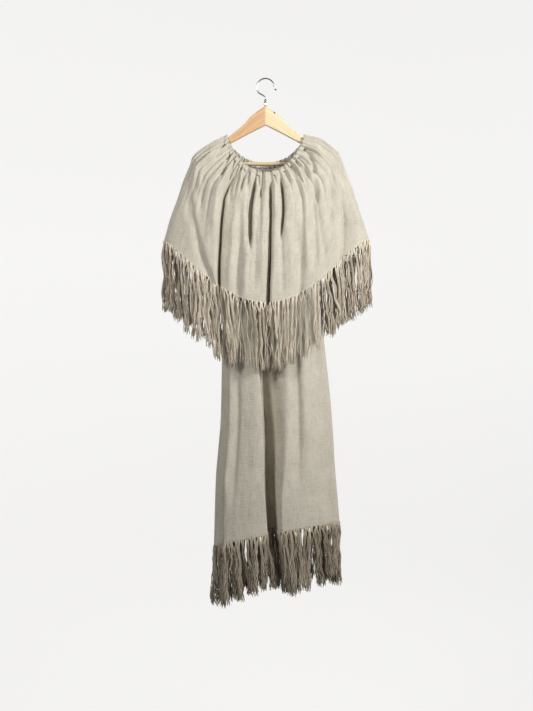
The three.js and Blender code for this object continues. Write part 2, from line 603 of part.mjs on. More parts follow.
// The wire hook and its collar, turned from one line: up the neck, round the crown, out at the tip.
function hook() {
  const middleZ = WIRE_RADIUS - HOOK_RADIUS;
  const onCrown = (degrees) => {
    const turn = THREE.MathUtils.degToRad(degrees);
    return new THREE.Vector3(HOOK_RADIUS * Math.cos(turn), 0, middleZ + HOOK_RADIUS * Math.sin(turn));
  };
  const line = [
    { at: new THREE.Vector3(0, 0, ARM_PEAK + SEAM_GAP), radius: COLLAR_RADIUS },
    { at: new THREE.Vector3(0, 0, COLLAR_TOP), radius: COLLAR_RADIUS },
  ];
  const wireTo = (at) => line.push({ at, radius: WIRE_RADIUS });
  for (const { x, z } of HOOK_NECK) wireTo(new THREE.Vector3(x, 0, z));
  const { from, to, steps } = HOOK_CROWN;
  for (let i = 0; i <= steps; i += 1) wireTo(onCrown(lerp(from, to, i / steps)));
  for (const { x, z } of HOOK_TIP) wireTo(new THREE.Vector3(x, 0, z));
  const sections = line.map(({ at, radius }, i) => {
    const [before, after] = [line[Math.max(0, i - 1)].at, line[Math.min(line.length - 1, i + 1)].at];
    const ahead = after.clone().sub(before).normalize();
    if (i < 2) ahead.set(0, 0, 1);
    const across = new THREE.Vector3(0, 1, 0);
    const up = new THREE.Vector3().crossVectors(ahead, across);
    return Array.from({ length: WIRE_SIDES }, (_, k) => {
      const turn = (2 * Math.PI * k) / WIRE_SIDES;
      return at
        .clone()
        .addScaledVector(across, radius * Math.cos(turn))
        .addScaledVector(up, radius * Math.sin(turn));
    });
  });
  return rod(sections);
}

// Materials and the group

const LINEN = new THREE.MeshStandardMaterial({ color: 0xd3ccba, roughness: 0.9, metalness: 0 });
const YARN = new THREE.MeshStandardMaterial({ color: 0xb8ab98, roughness: 0.95, metalness: 0 });
const WARM_WOOD = new THREE.MeshStandardMaterial({ color: 0xdcb68c, roughness: 0.5, metalness: 0 });
const PALE_WOOD = new THREE.MeshStandardMaterial({ color: 0xf0dfb8, roughness: 0.5, metalness: 0 });
const STEEL = new THREE.MeshStandardMaterial({ color: 0xb9bcbe, roughness: 0.25, metalness: 1 });

const kaftan = new THREE.Group();

function add(name, solid, material) {
  const mesh = solid.getMesh();
  const geometry = new THREE.BufferGeometry();
  geometry.setAttribute("position", new THREE.BufferAttribute(new Float32Array(mesh.vertProperties), 3));
  geometry.setIndex(new THREE.BufferAttribute(new Uint32Array(mesh.triVerts), 1));
  const made = new THREE.Mesh(geometry, material);
  made.name = name;
  kaftan.add(made);
}

const CAPE_ROWS = [SEAM_DOWN, 0.08, 0.13, 0.19, 0.26, 0.34, 0.44, 0.56, 0.7, 0.85, 1];
const CAPE_BACK_ROWS = [SEAM_DOWN, 0.09, 0.15, 0.22, 0.31, 0.42, 0.6, 0.8, 1];
const DRESS_COLUMNS = 24;
const BODICE_ROWS = [0, 0.05, 0.12, 0.2, 0.27, WAIST_DOWN - WAIST_GAP / 2];
const SKIRT_ROWS = [WAIST_DOWN + WAIST_GAP / 2, 0.45, 0.56, 0.66, 0.76, 0.86, 0.94, 1];
const SKIRT_BACK_ROWS = [WAIST_DOWN + WAIST_GAP / 2, 0.5, 0.66, 0.83, 1];

const sheets = {
  cape_front: panel(faces.capeFront, false, columns(2 * FRONT_GATHERS, atCuts), CAPE_ROWS, 0),
  cape_back: panel(faces.capeBack, true, columns(2 * BACK_GATHERS, []), CAPE_BACK_ROWS, 0),
  bodice_front: panel(faces.dressFront, false, columns(DRESS_COLUMNS, []), BODICE_ROWS, ARMHOLE_DOWN),
  bodice_back: panel(faces.dressBack, true, columns(DRESS_COLUMNS, []), BODICE_ROWS, ARMHOLE_DOWN),
  skirt_front: panel(faces.dressFront, false, columns(DRESS_COLUMNS, atPleat), SKIRT_ROWS, ARMHOLE_DOWN),
  skirt_back: panel(faces.dressBack, true, columns(DRESS_COLUMNS, []), SKIRT_BACK_ROWS, ARMHOLE_DOWN),
};

add("neck_casing", casing(), LINEN);
for (const [name, sheet] of Object.entries(sheets)) add(name, sheet.solid, LINEN);
FRINGES.forEach((spec, i) => add(spec.name, fringe(sheets[spec.sheet], { ...spec, seed: 1 + 4 * i }), YARN));
add("hanger_arm_left", arm(-1), WARM_WOOD);
add("hanger_arm_right", arm(1), PALE_WOOD);
add("hanger_bar", barRod(BAR_HALF, BAR_RADIUS), PALE_WOOD);
add("hanger_hook", hook(), STEEL);

export default kaftan;
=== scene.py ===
# Looks for a linen kaftan with a fringed cape, on its wooden hanger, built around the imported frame.
# The tables are in millimetres, as the part's source has them, and every mesh is made in metres.
import math

import bmesh
import bpy
import numpy as np
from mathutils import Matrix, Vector


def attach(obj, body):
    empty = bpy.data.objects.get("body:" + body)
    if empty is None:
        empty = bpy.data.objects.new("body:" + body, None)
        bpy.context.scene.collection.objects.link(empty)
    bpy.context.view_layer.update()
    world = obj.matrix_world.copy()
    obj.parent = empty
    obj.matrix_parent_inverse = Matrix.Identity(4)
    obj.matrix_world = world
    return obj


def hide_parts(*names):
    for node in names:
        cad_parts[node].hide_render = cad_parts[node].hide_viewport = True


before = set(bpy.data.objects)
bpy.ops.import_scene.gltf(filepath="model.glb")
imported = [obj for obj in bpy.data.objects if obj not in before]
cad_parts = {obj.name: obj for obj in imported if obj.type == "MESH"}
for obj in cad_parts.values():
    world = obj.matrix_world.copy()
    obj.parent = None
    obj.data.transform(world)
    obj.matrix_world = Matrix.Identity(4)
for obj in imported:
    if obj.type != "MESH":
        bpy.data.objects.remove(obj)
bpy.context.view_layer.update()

MM = 0.001

# The same sizes as the solids have
SIDE_GAP = 0.05
CAPE_LENGTH = 358
DRESS_LENGTH = 1040
CASING_HEIGHT = 12
CAPE_SEAM_GAP = 0.8
DRESS_SEAM_GAP = 2
DRESS_INSET = 7.2  # the gathers are deeper here than in the solids, so the hidden dress edge lies further in
WALL = 1.1
SEAM_DOWN = (CASING_HEIGHT + CAPE_SEAM_GAP) / CAPE_LENGTH
DRESS_SEAM_DOWN = (CASING_HEIGHT + DRESS_SEAM_GAP) / CAPE_LENGTH
NECK_TURN = 0.14
NECK_BLEND = 0.12
DRESS_POWER = 1.3
FRONT_GATHERS = 26
BACK_GATHERS = 24
FOLD_RISE = 0.12
FOLD_FADE = 0.16
FOLD_CALM = 0.05
FOLDS_LEVEL = (0.4, 0.9)


def table(names, rows):
    keys = names.split()
    return [dict(zip(keys, row)) for row in rows]


SECTION_NAMES = "down left_x left_z right_x right_z front_z back_z front_depth back_depth "
CAPE_SECTIONS = table(SECTION_NAMES + "left_power right_power back_power", [
    (0, -106, -153, 106, -151.5, -269, -223, 50, 46, 1.4, 1.4, 1.2),
    (0.12, -144, -172, 148, -163, -311, -266.5, 61, 54, 1.5, 1.5, 1.35),
    (0.24, -181, -196, 184, -187, -353, -310, 72, 61, 1.6, 1.6, 1.5),
    (0.31, -199, -214, 202, -206, -378, -335, 76, 64, 1.75, 1.75, 1.65),
    (0.38, -209, -238, 212, -229, -403, -360.5, 79, 66, 1.9, 1.9, 1.8),
    (0.5, -225, -277, 228, -270, -445, -404, 83, 69, 2, 2.1, 1.9),
    (0.67, -244, -335, 249, -331, -505, -465.5, 88, 72, 2.3, 2.5, 2.2),
    (0.84, -264, -392, 268, -389, -565, -527, 91, 74, 2.5, 2.8, 2.5),
    (1, -280, -448, 286, -445, -621, -585, 92, 75, 2.6, 3.1, 2.7),
])
DRESS_SECTIONS = table(SECTION_NAMES + "edge", [
    (0, -98, -184, 98, -182, -282, -245, 44, 42, 19),
    (0.1, -100, -268, 104, -266, -352, -325, 39, 38, 16),
    (0.2, -108, -388, 124, -384, -450, -436, 38, 37, SIDE_GAP),
    (0.35, -113, -520, 140, -512, -572, -562, 40, 38, SIDE_GAP),
    (0.5, -117, -660, 153, -648, -698, -688, 47, 41, SIDE_GAP),
    (0.62, -120, -780, 166, -764, -806, -796, 52, 44, SIDE_GAP),
    (0.75, -123, -925, 180, -900, -938, -928, 56, 48, SIDE_GAP),
    (0.88, -137, -1105, 191, -1064, -1096, -1084, 60, 52, SIDE_GAP),
    (1, -142, -1284, 204, -1219, -1236, -1226, 62, 54, SIDE_GAP),
])

# Folds. Each runs down the panel (from, to) and drifts across it (start, end). Width is the steep side's, and
# soft how many times wider the other side is: the left, or the right where soft is negative. Cut makes the
# mesh follow the fold, slit is the share of its depth in a narrow slit, and lean slants it under its lip.
FOLD_NAMES = "from start to end depth end_depth width cut slit lean soft"
CAPE_FRONT_FOLDS = table(FOLD_NAMES, [
    (0.3, 0.06, 1, 0.325, 8, 10, 13, False, 0, 0.1, 2),
    (0.06, 0.297, 1, 0.35, 20, 40, 6, True, 0.72, 0.1, -4),
    (0.2, 0.385, 1, 0.41, 7, 10, 11, False, 0, 0, 1.7),
    (0.04, 0.425, 0.64, 0.444, 26, 26, 5, True, 0.75, 0.1, 3.5),
    (0.04, 0.524, 1, 0.504, 24, 40, 6, True, 0.75, 0.1, 4),
    (0.04, 0.597, 0.58, 0.55, 26, 24, 5, True, 0.75, 0.1, 2.8),
    (0.15, 0.66, 1, 0.6, 6, 10, 10, False, 0, 0, 1.7),
    (0.2, 0.715, 0.92, 0.66, 9, 8, 8, False, 0, 0, 2),
    (0.25, 0.9, 0.72, 0.71, 9, 10, 12, False, 0, 0, -2),
    (0.33, 0.92, 1, 0.765, 11, 22, 11, False, 0.1, 0.1, -2.2),
])
CAPE_BACK_FOLDS = table(FOLD_NAMES, [
    (0.08, 0.22, 1, 0.27, 10, 16, 12, False, 0, 0.2, 1.6),
    (0.08, 0.4, 0.8, 0.4, 13, 13, 7, False, 0.4, 0.15, 2.5),
    (0.08, 0.53, 1, 0.54, 14, 21, 7, False, 0.5, 0.15, 3),
    (0.08, 0.67, 0.7, 0.65, 12, 12, 7, False, 0.4, 0.15, -2.5),
    (0.1, 0.8, 1, 0.76, 9, 15, 13, False, 0, 0.2, -1.6),
])
DRESS_FRONT_FOLDS = table(FOLD_NAMES, [
    (0.42, 0.14, 1, 0.155, 12, 24, 7, False, 0.3, 0.1, 3.4),
    (0.48, 0.25, 0.96, 0.26, 8, 7, 9, False, 0, 0, 1.8),
    (0.46, 0.655, 0.95, 0.62, 10, 9, 8, False, 0, 0, 2),
    (0.5, 0.82, 1, 0.84, 6, 9, 14, False, 0, 0, 1.4),
])
DRESS_BACK_FOLDS = table(FOLD_NAMES, [
    (0.45, 0.28, 1, 0.26, 6, 14, 12, False, 0, 0, 1.6),
    (0.45, 0.55, 1, 0.57, 7, 18, 12, False, 0, 0, 1.8),
    (0.5, 0.78, 1, 0.8, 5, 12, 12, False, 0, 0, -1.6),
])
# The skirt's middle pleat: how wide its left wall and its floor are, and where its right slope ends
PLEAT_ROWS = table("down place depth left floor right", [
    (0.38, 0.425, 0, 12, 0, 84),
    (0.45, 0.425, 20, 10, 4, 84),
    (0.53, 0.427, 42, 9, 9, 82),
    (0.63, 0.431, 54, 9, 15, 78),
    (0.72, 0.437, 60, 9, 20, 66),
    (0.85, 0.454, 68, 9, 24, 50),
    (0.93, 0.461, 74, 9, 23, 36),
    (1, 0.468, 78, 9, 22, 31),
])
PLEAT_LEAN = -0.14
PLEAT_LEAN_MOST = 40

# Soft creases, each listed from one place to another (across, down), with height and half width in
# millimetres.
CREASE_NAMES = "a0 d0 a1 d1 height width bow"
CAPE_FRONT_CREASES = table(CREASE_NAMES, [
    (0.09, -0.04, 0.155, 0.18, -2.6, 3, 0),
    (0.165, -0.05, 0.275, 0.27, -3.6, 3, 2),
    (0.235, -0.04, 0.32, 0.3, -3.4, 3, 0),
    (0.275, -0.04, 0.345, 0.36, -3, 3.2, 2),
    (0.305, -0.04, 0.35, 0.27, -3.2, 2.8, 1),
    (0.325, -0.05, 0.376, 0.24, -3.2, 2.8, 1),
    (0.375, -0.05, 0.395, 0.2, -2.6, 2.6, 0),
    (0.432, -0.04, 0.48, 0.22, -2.4, 3.2, 0),
    (0.562, -0.05, 0.565, 0.14, -2.8, 2.6, 0),
    (0.64, -0.05, 0.63, 0.16, -2.4, 2.8, 0),
    (0.7, -0.05, 0.675, 0.18, -2.8, 2.8, 0),
    (0.755, -0.05, 0.69, 0.3, -3.2, 3, 0),
    (0.785, -0.05, 0.722, 0.24, -3.6, 3, 0),
    (0.87, -0.06, 0.742, 0.26, -4.6, 3.2, 4),
    (0.755, 0.2, 0.705, 0.46, -3, 7, 0),
    (0.1, 0.06, 0.13, 0.44, 2.2, 7, 6),
    (0.13, 0.1, 0.2, 0.5, 2.4, 8, 4),
    (0.15, 0.15, 0.23, 0.62, -2.4, 6, 5),
    (0.26, 0.1, 0.305, 0.72, 2.4, 7, 4),
    (0.36, 0.06, 0.375, 0.66, 2.2, 8, 3),
    (0.395, 0.06, 0.42, 0.42, -2.6, 5, 2),
    (0.475, 0.06, 0.465, 0.52, -2.6, 5, -3),
    (0.49, 0.2, 0.48, 0.9, 1.8, 11, 3),
    (0.555, 0.05, 0.53, 0.34, 2.4, 6, 0),
    (0.64, 0.06, 0.615, 0.66, 2.2, 9, -4),
    (0.7, 0.12, 0.655, 0.6, 2.4, 8, -3),
    (0.85, 0.12, 0.79, 0.45, 2.6, 8, 4),
    (0.88, 0.1, 0.73, 0.64, -2.8, 10, 6),
    (0.92, 0.12, 0.9, 0.34, -1.6, 8, -4),
    (0.06, 0.3, 0.16, 0.85, 1.6, 14, 8),
    (0.13, 0.42, 0.25, 0.96, 2, 13, 6),
    (0.375, 0.45, 0.386, 1, 1.6, 8, 0),
    (0.403, 0.4, 0.411, 1, -1.8, 7, 0),
    (0.432, 0.55, 0.436, 1, 1.6, 8, 0),
    (0.462, 0.4, 0.464, 1, -1.6, 7, 0),
    (0.49, 0.5, 0.491, 1, 1.3, 7, 0),
    (0.553, 0.5, 0.551, 1, -1.6, 7, 0),
    (0.585, 0.4, 0.58, 0.97, 1.4, 9, 2),
    (0.617, 0.35, 0.612, 0.97, -1.7, 8, 0),
    (0.648, 0.45, 0.64, 0.98, 1.6, 8, 0),
    (0.705, 0.45, 0.69, 0.97, -1.8, 9, 3),
    (0.83, 0.5, 0.8, 0.96, -1.4, 12, 4),
    (0.86, 0.4, 0.9, 0.95, 1.6, 14, 4),
    (0.93, 0.55, 0.945, 0.97, -1.4, 10, 3),
])
CAPE_BACK_CREASES = table(CREASE_NAMES, [
    (0.12, 0.05, 0.14, 0.5, 2.4, 8, 4),
    (0.17, 0.05, 0.2, 0.36, -2.2, 6, 4),
    (0.3, 0.05, 0.31, 0.6, 2.4, 8, 3),
    (0.35, 0.05, 0.35, 0.4, -2.2, 6, 0),
    (0.47, 0.05, 0.47, 0.55, 2.4, 8, 0),
    (0.6, 0.05, 0.6, 0.5, -2.2, 7, 0),
    (0.73, 0.05, 0.71, 0.52, 2.4, 8, -3),
    (0.87, 0.05, 0.84, 0.45, -2.2, 7, -4),
    (0.16, 0.5, 0.19, 0.95, 1.6, 14, 0),
    (0.45, 0.5, 0.46, 0.98, -1.6, 13, 0),
    (0.64, 0.6, 0.65, 0.98, 1.6, 13, 0),
    (0.88, 0.5, 0.9, 0.95, 1.6, 13, 0),
])
DRESS_FRONT_CREASES = table(CREASE_NAMES, [
    (0.16, 0.5, 0.17, 0.98, 1.6, 12, 6),
    (0.3, 0.44, 0.31, 0.9, -1.6, 14, -6),
    (0.38, 0.6, 0.375, 0.97, 1.4, 14, 6),
    (0.6, 0.46, 0.59, 0.8, -2, 9, 4),
    (0.7, 0.5, 0.71, 0.95, 1.8, 14, -8),
    (0.76, 0.44, 0.77, 0.86, -1.4, 14, 8),
    (0.9, 0.52, 0.9, 0.96, 1.6, 12, 4),
    (0.62, 0.775, 0.72, 0.785, 0.7, 3.5, 2),
    (0.66, 0.8, 0.84, 0.79, -0.7, 4, -3),
    (0.62, 0.9, 0.88, 0.905, 0.7, 4, 3),
    (0.58, 0.925, 0.86, 0.93, -0.8, 4, -2),
    (0.74, 0.845, 0.93, 0.83, 0.8, 4, 3),
    (0.15, 0.83, 0.2, 0.9, 1, 4, 3),
    (0.13, 0.87, 0.19, 0.95, -1, 4, 3),
    (0.3, 0.72, 0.42, 0.725, 0.7, 4, 2),
    (0.24, 0.945, 0.4, 0.94, 0.8, 4, -2),
    (0.2, 0.6, 0.33, 0.59, 0.7, 5, 3),
    (0.66, 0.66, 0.8, 0.67, -0.7, 5, 3),
])
DRESS_BACK_CREASES = table(CREASE_NAMES, [
    (0.15, 0.45, 0.16, 0.95, 1.8, 13, 6),
    (0.38, 0.45, 0.38, 0.95, 1.8, 15, -6),
    (0.45, 0.5, 0.46, 0.9, -1.6, 12, 4),
    (0.67, 0.45, 0.68, 0.97, 1.8, 15, 6),
    (0.88, 0.5, 0.9, 0.96, 1.6, 12, 4),
    (0.2, 0.8, 0.4, 0.81, -0.8, 4, 3),
    (0.3, 0.9, 0.5, 0.89, 0.8, 4, -3),
    (0.6, 0.85, 0.82, 0.86, 0.8, 4, 3),
    (0.62, 0.7, 0.75, 0.69, -0.7, 4, 3),
])

# Fringe. A lock is where its strands begin (up to x), where their ends hang (x, half width, lowest z), and
# the share of the yarns that it has.
CAPE_FRONT_LOCKS = table("upto x half z share", [
    (-247, -258, 10, -640, 1),
    (-229, -233, 11, -672, 1),
    (-205, -212, 9, -704, 1),
    (-176, -184, 12, -724, 1),
    (-150, -152, 9, -742, 1),
    (-124, -128, 10, -776, 1),
    (-78, -90, 14, -796, 1),
    (-32, -50, 20, -790, 0.28),
    (-8, -16, 12, -808, 1),
    (22, 14, 14, -806, 1),
    (62, 44, 14, -800, 1),
    (84, 70, 9, -784, 0.8),
    (124, 104, 20, -768, 0.28),
    (146, 140, 9, -742, 0.8),
    (175, 178, 10, -718, 0.7),
    (205, 204, 10, -680, 1),
    (236, 236, 11, -648, 1),
    (999, 268, 12, -632, 1),
])
HEM_FRONT_LOCKS = table("upto x half z", [
    (-126, -132, 7, -1395),
    (-108, -112, 9, -1448),
    (-62, -72, 11, -1431),
    (-18, -34, 12, -1408),
    (2, -4, 4, -1396),
    (26, 28, 9, -1400),
    (84, 66, 20, -1408),
    (118, 108, 14, -1398),
    (150, 148, 9, -1384),
    (999, 181, 13, -1368),
])
STRAND_CLEAR = 6.6
SIDE_LEAN = 0.3
FRINGES = table("node sheet count length lean yarns full locks seed strays", [
    ("cape_fringe_front", "cape_front", 62, 178, 9, 7, 1, CAPE_FRONT_LOCKS, 11, 30),
    ("cape_fringe_back", "cape_back", 64, 178, 6, 7, 2.2, None, 12, 8),
    ("hem_fringe_front", "dress_front", 43, 172, 3, 9, 1.25, HEM_FRONT_LOCKS, 13, 44),
    ("hem_fringe_back", "dress_back", 40, 172, 3, 11, 2.4, None, 14, 6),
])


# Small sums

def lerp(a, b, t):
    return a + (b - a) * t


def smooth(low, high, value):
    t = np.clip((value - low) / (high - low), 0, 1)
    return t * t * (3 - 2 * t)


def reader(rows, key, place="down"):
    x = np.array([row[place] for row in rows], float)
    y = np.array([row[key] for row in rows], float)
    slope = np.diff(y) / np.diff(x)
    tangent = np.zeros(len(y))
    tangent[0], tangent[-1] = slope[0], slope[-1]
    for i in range(1, len(y) - 1):
        if slope[i - 1] * slope[i] > 0:
            tangent[i] = 2 * slope[i - 1] * slope[i] / (slope[i - 1] + slope[i])

    def read(at):
        at = np.clip(at, x[0], x[-1])
        i = np.clip(np.searchsorted(x, at, side="right") - 1, 0, len(x) - 2)
        step = x[i + 1] - x[i]
        t = (at - x[i]) / step
        rise = t * t * (3 - 2 * t)
        return lerp(y[i], y[i + 1], rise) + step * t * (1 - t) * ((1 - t) * tangent[i] - t * tangent[i + 1])

    return read


def readers(rows, place="down"):
    return {key: reader(rows, key, place) for key in rows[0] if key != place}


def knots(seed, place, low=0.0, high=1.0):
    """A steady random curve: its own value at each whole number, and smooth between them."""
    values = np.random.default_rng(seed).uniform(low, high, 512)
    whole = np.floor(place).astype(int)
    t = smooth(0, 1, place - whole)
    return lerp(values[whole % 512], values[(whole + 1) % 512], t)


def cloud(seed, u, v):
    """Smooth random heights from -1 to 1, with bumps about one unit wide."""
    values = np.random.default_rng(seed).uniform(-1, 1, (128, 128))
    iu, iv = np.floor(u).astype(int), np.floor(v).astype(int)
    tu, tv = smooth(0, 1, u - iu), smooth(0, 1, v - iv)
    a, b, c, d = iu % 128, (iu + 1) % 128, iv % 128, (iv + 1) % 128
    return lerp(lerp(values[a, c], values[b, c], tu), lerp(values[a, d], values[b, d], tu), tv)


# Surfaces, as in the part's source: across runs 0 to 1 from left to right, down from the neck to the hem

cape = readers(CAPE_SECTIONS)
dress = readers(DRESS_SECTIONS)
pleat = readers(PLEAT_ROWS)


def panel_row(rows, back, across, down, edge, power):
    turn = np.pi * across
    share = (1 - np.cos(turn)) / 2
    bulge = np.sin(turn)
    sides = lerp(rows["left_z"](down), rows["right_z"](down), share)
    middle = rows["back_z" if back else "front_z"](down)
    sag = (rows["left_z"](down) + rows["right_z"](down)) / 2 - middle
    depth = rows["back_depth" if back else "front_depth"](down)
    y = edge + (depth - edge) * bulge
    x = lerp(rows["left_x"](down), rows["right_x"](down), share)
    z = sides - sag * np.power(np.maximum(0, bulge), power)
    return np.stack([x, y if back else -y, z], axis=-1)


def cape_base(back, across, down):
    share = (1 - np.cos(np.pi * across)) / 2
    front_power = lerp(cape["left_power"](down), cape["right_power"](down), share)
    power = cape["back_power"](down) if back else front_power
    return panel_row(cape, back, across, down, SIDE_GAP, power)


def dress_base(back, across, down):
    hung = panel_row(dress, back, across, down, dress["edge"](down), DRESS_POWER)
    blend = (1 - smooth(0, NECK_BLEND, down))[..., None]
    neck = lerp(NECK_TURN, 1 - NECK_TURN, across)
    seam = np.full_like(neck, DRESS_SEAM_DOWN)
    inside = cape_base(back, neck, seam) - DRESS_INSET * normal_of(cape_base, back, neck, seam)
    top = panel_row(dress, back, across, np.zeros_like(across), dress["edge"](0), DRESS_POWER)
    return hung + (inside - top) * blend


NORMAL_STEP = 0.004


def unit(vectors):
    return vectors / np.maximum(np.linalg.norm(vectors, axis=-1, keepdims=True), 1e-9)


def across_of(surface, back, across, down):
    left, right = np.maximum(0, across - NORMAL_STEP), np.minimum(1, across + NORMAL_STEP)
    return surface(back, right, down) - surface(back, left, down)


def normal_of(surface, back, across, down):
    above, below = np.maximum(0, down - NORMAL_STEP), np.minimum(1, down + NORMAL_STEP)
    drop = surface(back, across, below) - surface(back, across, above)
    normal = np.cross(drop, across_of(surface, back, across, down)) * (-1 if back else 1)
    at_edge = (across < NORMAL_STEP) | (across > 1 - NORMAL_STEP)
    normal[..., 1] = np.where(at_edge, 0, normal[..., 1])
    return unit(normal)


def stretch(panel, across, down):
    """How long one unit across is there, in millimetres."""
    rows = panel["rows"]
    half = (rows["right_x"](down) - rows["left_x"](down)) / 2
    depth = rows["back_depth" if panel["back"] else "front_depth"](down)
    return np.pi * np.hypot(half * np.sin(np.pi * across), depth * np.cos(np.pi * across))


def fold_place(fold, down):
    return lerp(fold["start"], fold["end"], (down - fold["from"]) / (fold["to"] - fold["from"]))


def fold_depth(fold, down):
    rise = smooth(fold["from"], fold["from"] + FOLD_RISE, down)
    fade = 1 - smooth(fold["to"] - FOLD_FADE, fold["to"], down) if fold["to"] < 1 else 1
    share = np.clip((down - fold["from"]) / (fold["to"] - fold["from"]), 0, 1)
    return lerp(fold["depth"], fold["end_depth"], share) * rise * fade


def calm(share, across):
    return smooth(0, share, across) * smooth(0, share, 1 - across)


SLIT_WIDTH = 4.3
SLIT_PINCH = 1.2


def troughs(panel, across, down):
    """How far the folds move the cloth in, and how far along the row."""
    wide = stretch(panel, across, down)
    out, along = np.zeros_like(across), np.zeros_like(across)
    for fold in panel["folds"]:
        steep = math.copysign(1, fold["soft"])
        off = steep * (across - fold_place(fold, down)) * wide
        well = np.exp(-((off / fold["width"] / np.where(off < 0, abs(fold["soft"]), 1)) ** 2))
        narrow = np.exp(-((off / SLIT_WIDTH) ** 2))
        lip = np.exp(-(((off / SLIT_WIDTH - 1.5) / 0.6) ** 2))
        depth = fold_depth(fold, down)
        out -= depth * lerp(well, narrow, fold["slit"])
        along += steep * fold["lean"] * depth * (narrow if fold["slit"] else well)
        along -= steep * SLIT_PINCH * np.minimum(1, depth * fold["slit"] / 10) * lip
    edge = calm(FOLD_CALM, across)
    return out * edge, along * edge


ROUND_SHARE = 1.3  # a panel's length round the body, over its width
GATHER_MOST = 6.0
GATHER_SHARE = 0.56
GATHER_ROUND = 0.5  # under 1 for broad crests with narrow valleys


def gathers(panel, column, across, down):
    count, seed = panel["gathers"], panel["seed"]
    wave = stretch(panel, across, down) / count
    place = count * column + 0.6 * (knots(seed, 0.8 * count * column) - 0.5)
    gone = knots(seed + 1, place, 0.25, 0.95)
    tall = knots(seed + 2, place, 0.5, 1.4)
    rise = lerp(0.78, 1, smooth(SEAM_DOWN, 0.08, down))
    fade = 1 - smooth(0.06, gone, down)
    height = np.minimum(GATHER_MOST, GATHER_SHARE * wave) * tall * rise * fade
    ridge = 2 * np.abs(np.cos(np.pi * place)) ** GATHER_ROUND - 1
    finer = 2 * np.abs(np.cos(2 * np.pi * place + 0.9)) ** GATHER_ROUND - 1
    fine_share = 0.34 * smooth(8, 12, wave) * (1 - smooth(0.04, 0.17, down))
    return height * (0.35 + ridge + fine_share * finer) * calm(0.035, column)


def pleat_depth(panel, across, down):
    off = (across - pleat["place"](down)) * stretch(panel, across, down)
    floor, right = pleat["floor"](down), pleat["right"](down)
    share = np.clip((off - floor) / (right - floor), 0, 1)
    depth = pleat["depth"](down) * np.where(off < 0, smooth(-pleat["left"](down), 0, off), (1 - share) ** 2)
    return -depth, PLEAT_LEAN * np.minimum(depth, PLEAT_LEAN_MOST)



def creases(panel, across, down):
    """Heights of creases that run from place to place over the cloth, worked out in millimetres."""
    length = panel["length"]
    out = np.zeros_like(across)
    for crease in panel["creases"]:
        middle = (crease["a0"] + crease["a1"]) / 2
        wide = stretch(panel, np.array(middle), np.array((crease["d0"] + crease["d1"]) / 2))
        start = np.array([(crease["a0"] - middle) * wide, crease["d0"] * length])
        end = np.array([(crease["a1"] - middle) * wide, crease["d1"] * length])
        run = end - start
        long = np.linalg.norm(run)
        ahead = run / long
        u, v = (across - middle) * wide - start[0], down * length - start[1]
        t = (u * ahead[0] + v * ahead[1]) / long
        bow = crease["bow"] * 4 * np.clip(t, 0, 1) * (1 - np.clip(t, 0, 1))
        off = (u * ahead[1] - v * ahead[0] - bow) / crease["width"]
        ends = smooth(0, 0.25, t) * smooth(0, 0.3, 1 - t)
        out += panel["relief"] * crease["height"] * np.exp(-off * off) * ends
    return out * calm(0.03, across)


def uneven(panel, across, down):
    """The faint unevenness of washed linen."""
    rows, seed = panel["rows"], panel["seed"] + 5
    wide = (rows["right_x"](down) - rows["left_x"](down)) * ROUND_SHARE
    u, v = across * wide, down * panel["length"]
    heights = 1.1 * cloud(seed, u / 34, v / 70) + 0.6 * cloud(seed + 1, u / 12, v / 30)
    heights += 0.22 * cloud(seed + 2, u / 6, v / 8)
    return heights * calm(0.04, across)


def slide(column, folds, down):
    cuts = [fold for fold in folds if fold["cut"]]
    from_ = [0, *[fold["end"] for fold in cuts], 1]
    to = [0 * down, *[fold_place(fold, down) for fold in cuts], 1 + 0 * down]
    out = np.zeros_like(column)
    for i in range(len(from_) - 1):
        inside = (column >= from_[i]) & (column <= from_[i + 1])
        share = (column - from_[i]) / (from_[i + 1] - from_[i])
        out = np.where(inside, lerp(to[i], to[i + 1], share), out)
    return out


CAPE_RELIEF = 2.4
DRESS_RELIEF = 1.5
PANEL_NAMES = "name back base rows length folds creases relief gathers pleat seed"
PANELS = {row["name"]: row for row in table(PANEL_NAMES, [
    ("cape_front", False, cape_base, cape, CAPE_LENGTH, CAPE_FRONT_FOLDS, CAPE_FRONT_CREASES,
     CAPE_RELIEF, FRONT_GATHERS, False, 101),
    ("cape_back", True, cape_base, cape, CAPE_LENGTH, CAPE_BACK_FOLDS, CAPE_BACK_CREASES,
     CAPE_RELIEF, BACK_GATHERS, False, 201),
    ("dress_front", False, dress_base, dress, DRESS_LENGTH, DRESS_FRONT_FOLDS, DRESS_FRONT_CREASES,
     DRESS_RELIEF, 0, True, 301),
    ("dress_back", True, dress_base, dress, DRESS_LENGTH, DRESS_BACK_FOLDS, DRESS_BACK_CREASES,
     DRESS_RELIEF, 0, False, 401),
])}


def face(panel, column, down):
    """A panel's outer face."""
    back, base = panel["back"], panel["base"]
    across = slide(column, panel["folds"], down)
    out, along = troughs(panel, across, down)
    if panel["gathers"]:
        out = out + gathers(panel, column, across, down)
    if panel["pleat"]:
        deeper, aside = pleat_depth(panel, across, down)
        out, along = out + deeper, along + aside
    out = out + creases(panel, across, down)
    out = out + uneven(panel, across, down)
    normal = normal_of(base, back, across, down)
    normal[..., 2] *= 1 - smooth(*FOLDS_LEVEL, down)
    ahead = unit(across_of(base, back, across, down))
    return base(back, across, down) + unit(normal) * out[..., None] + ahead * along[..., None]


# Meshes

def add_object(name, data):
    obj = bpy.data.objects.new(name, data)
    bpy.context.scene.collection.objects.link(obj)
    return obj


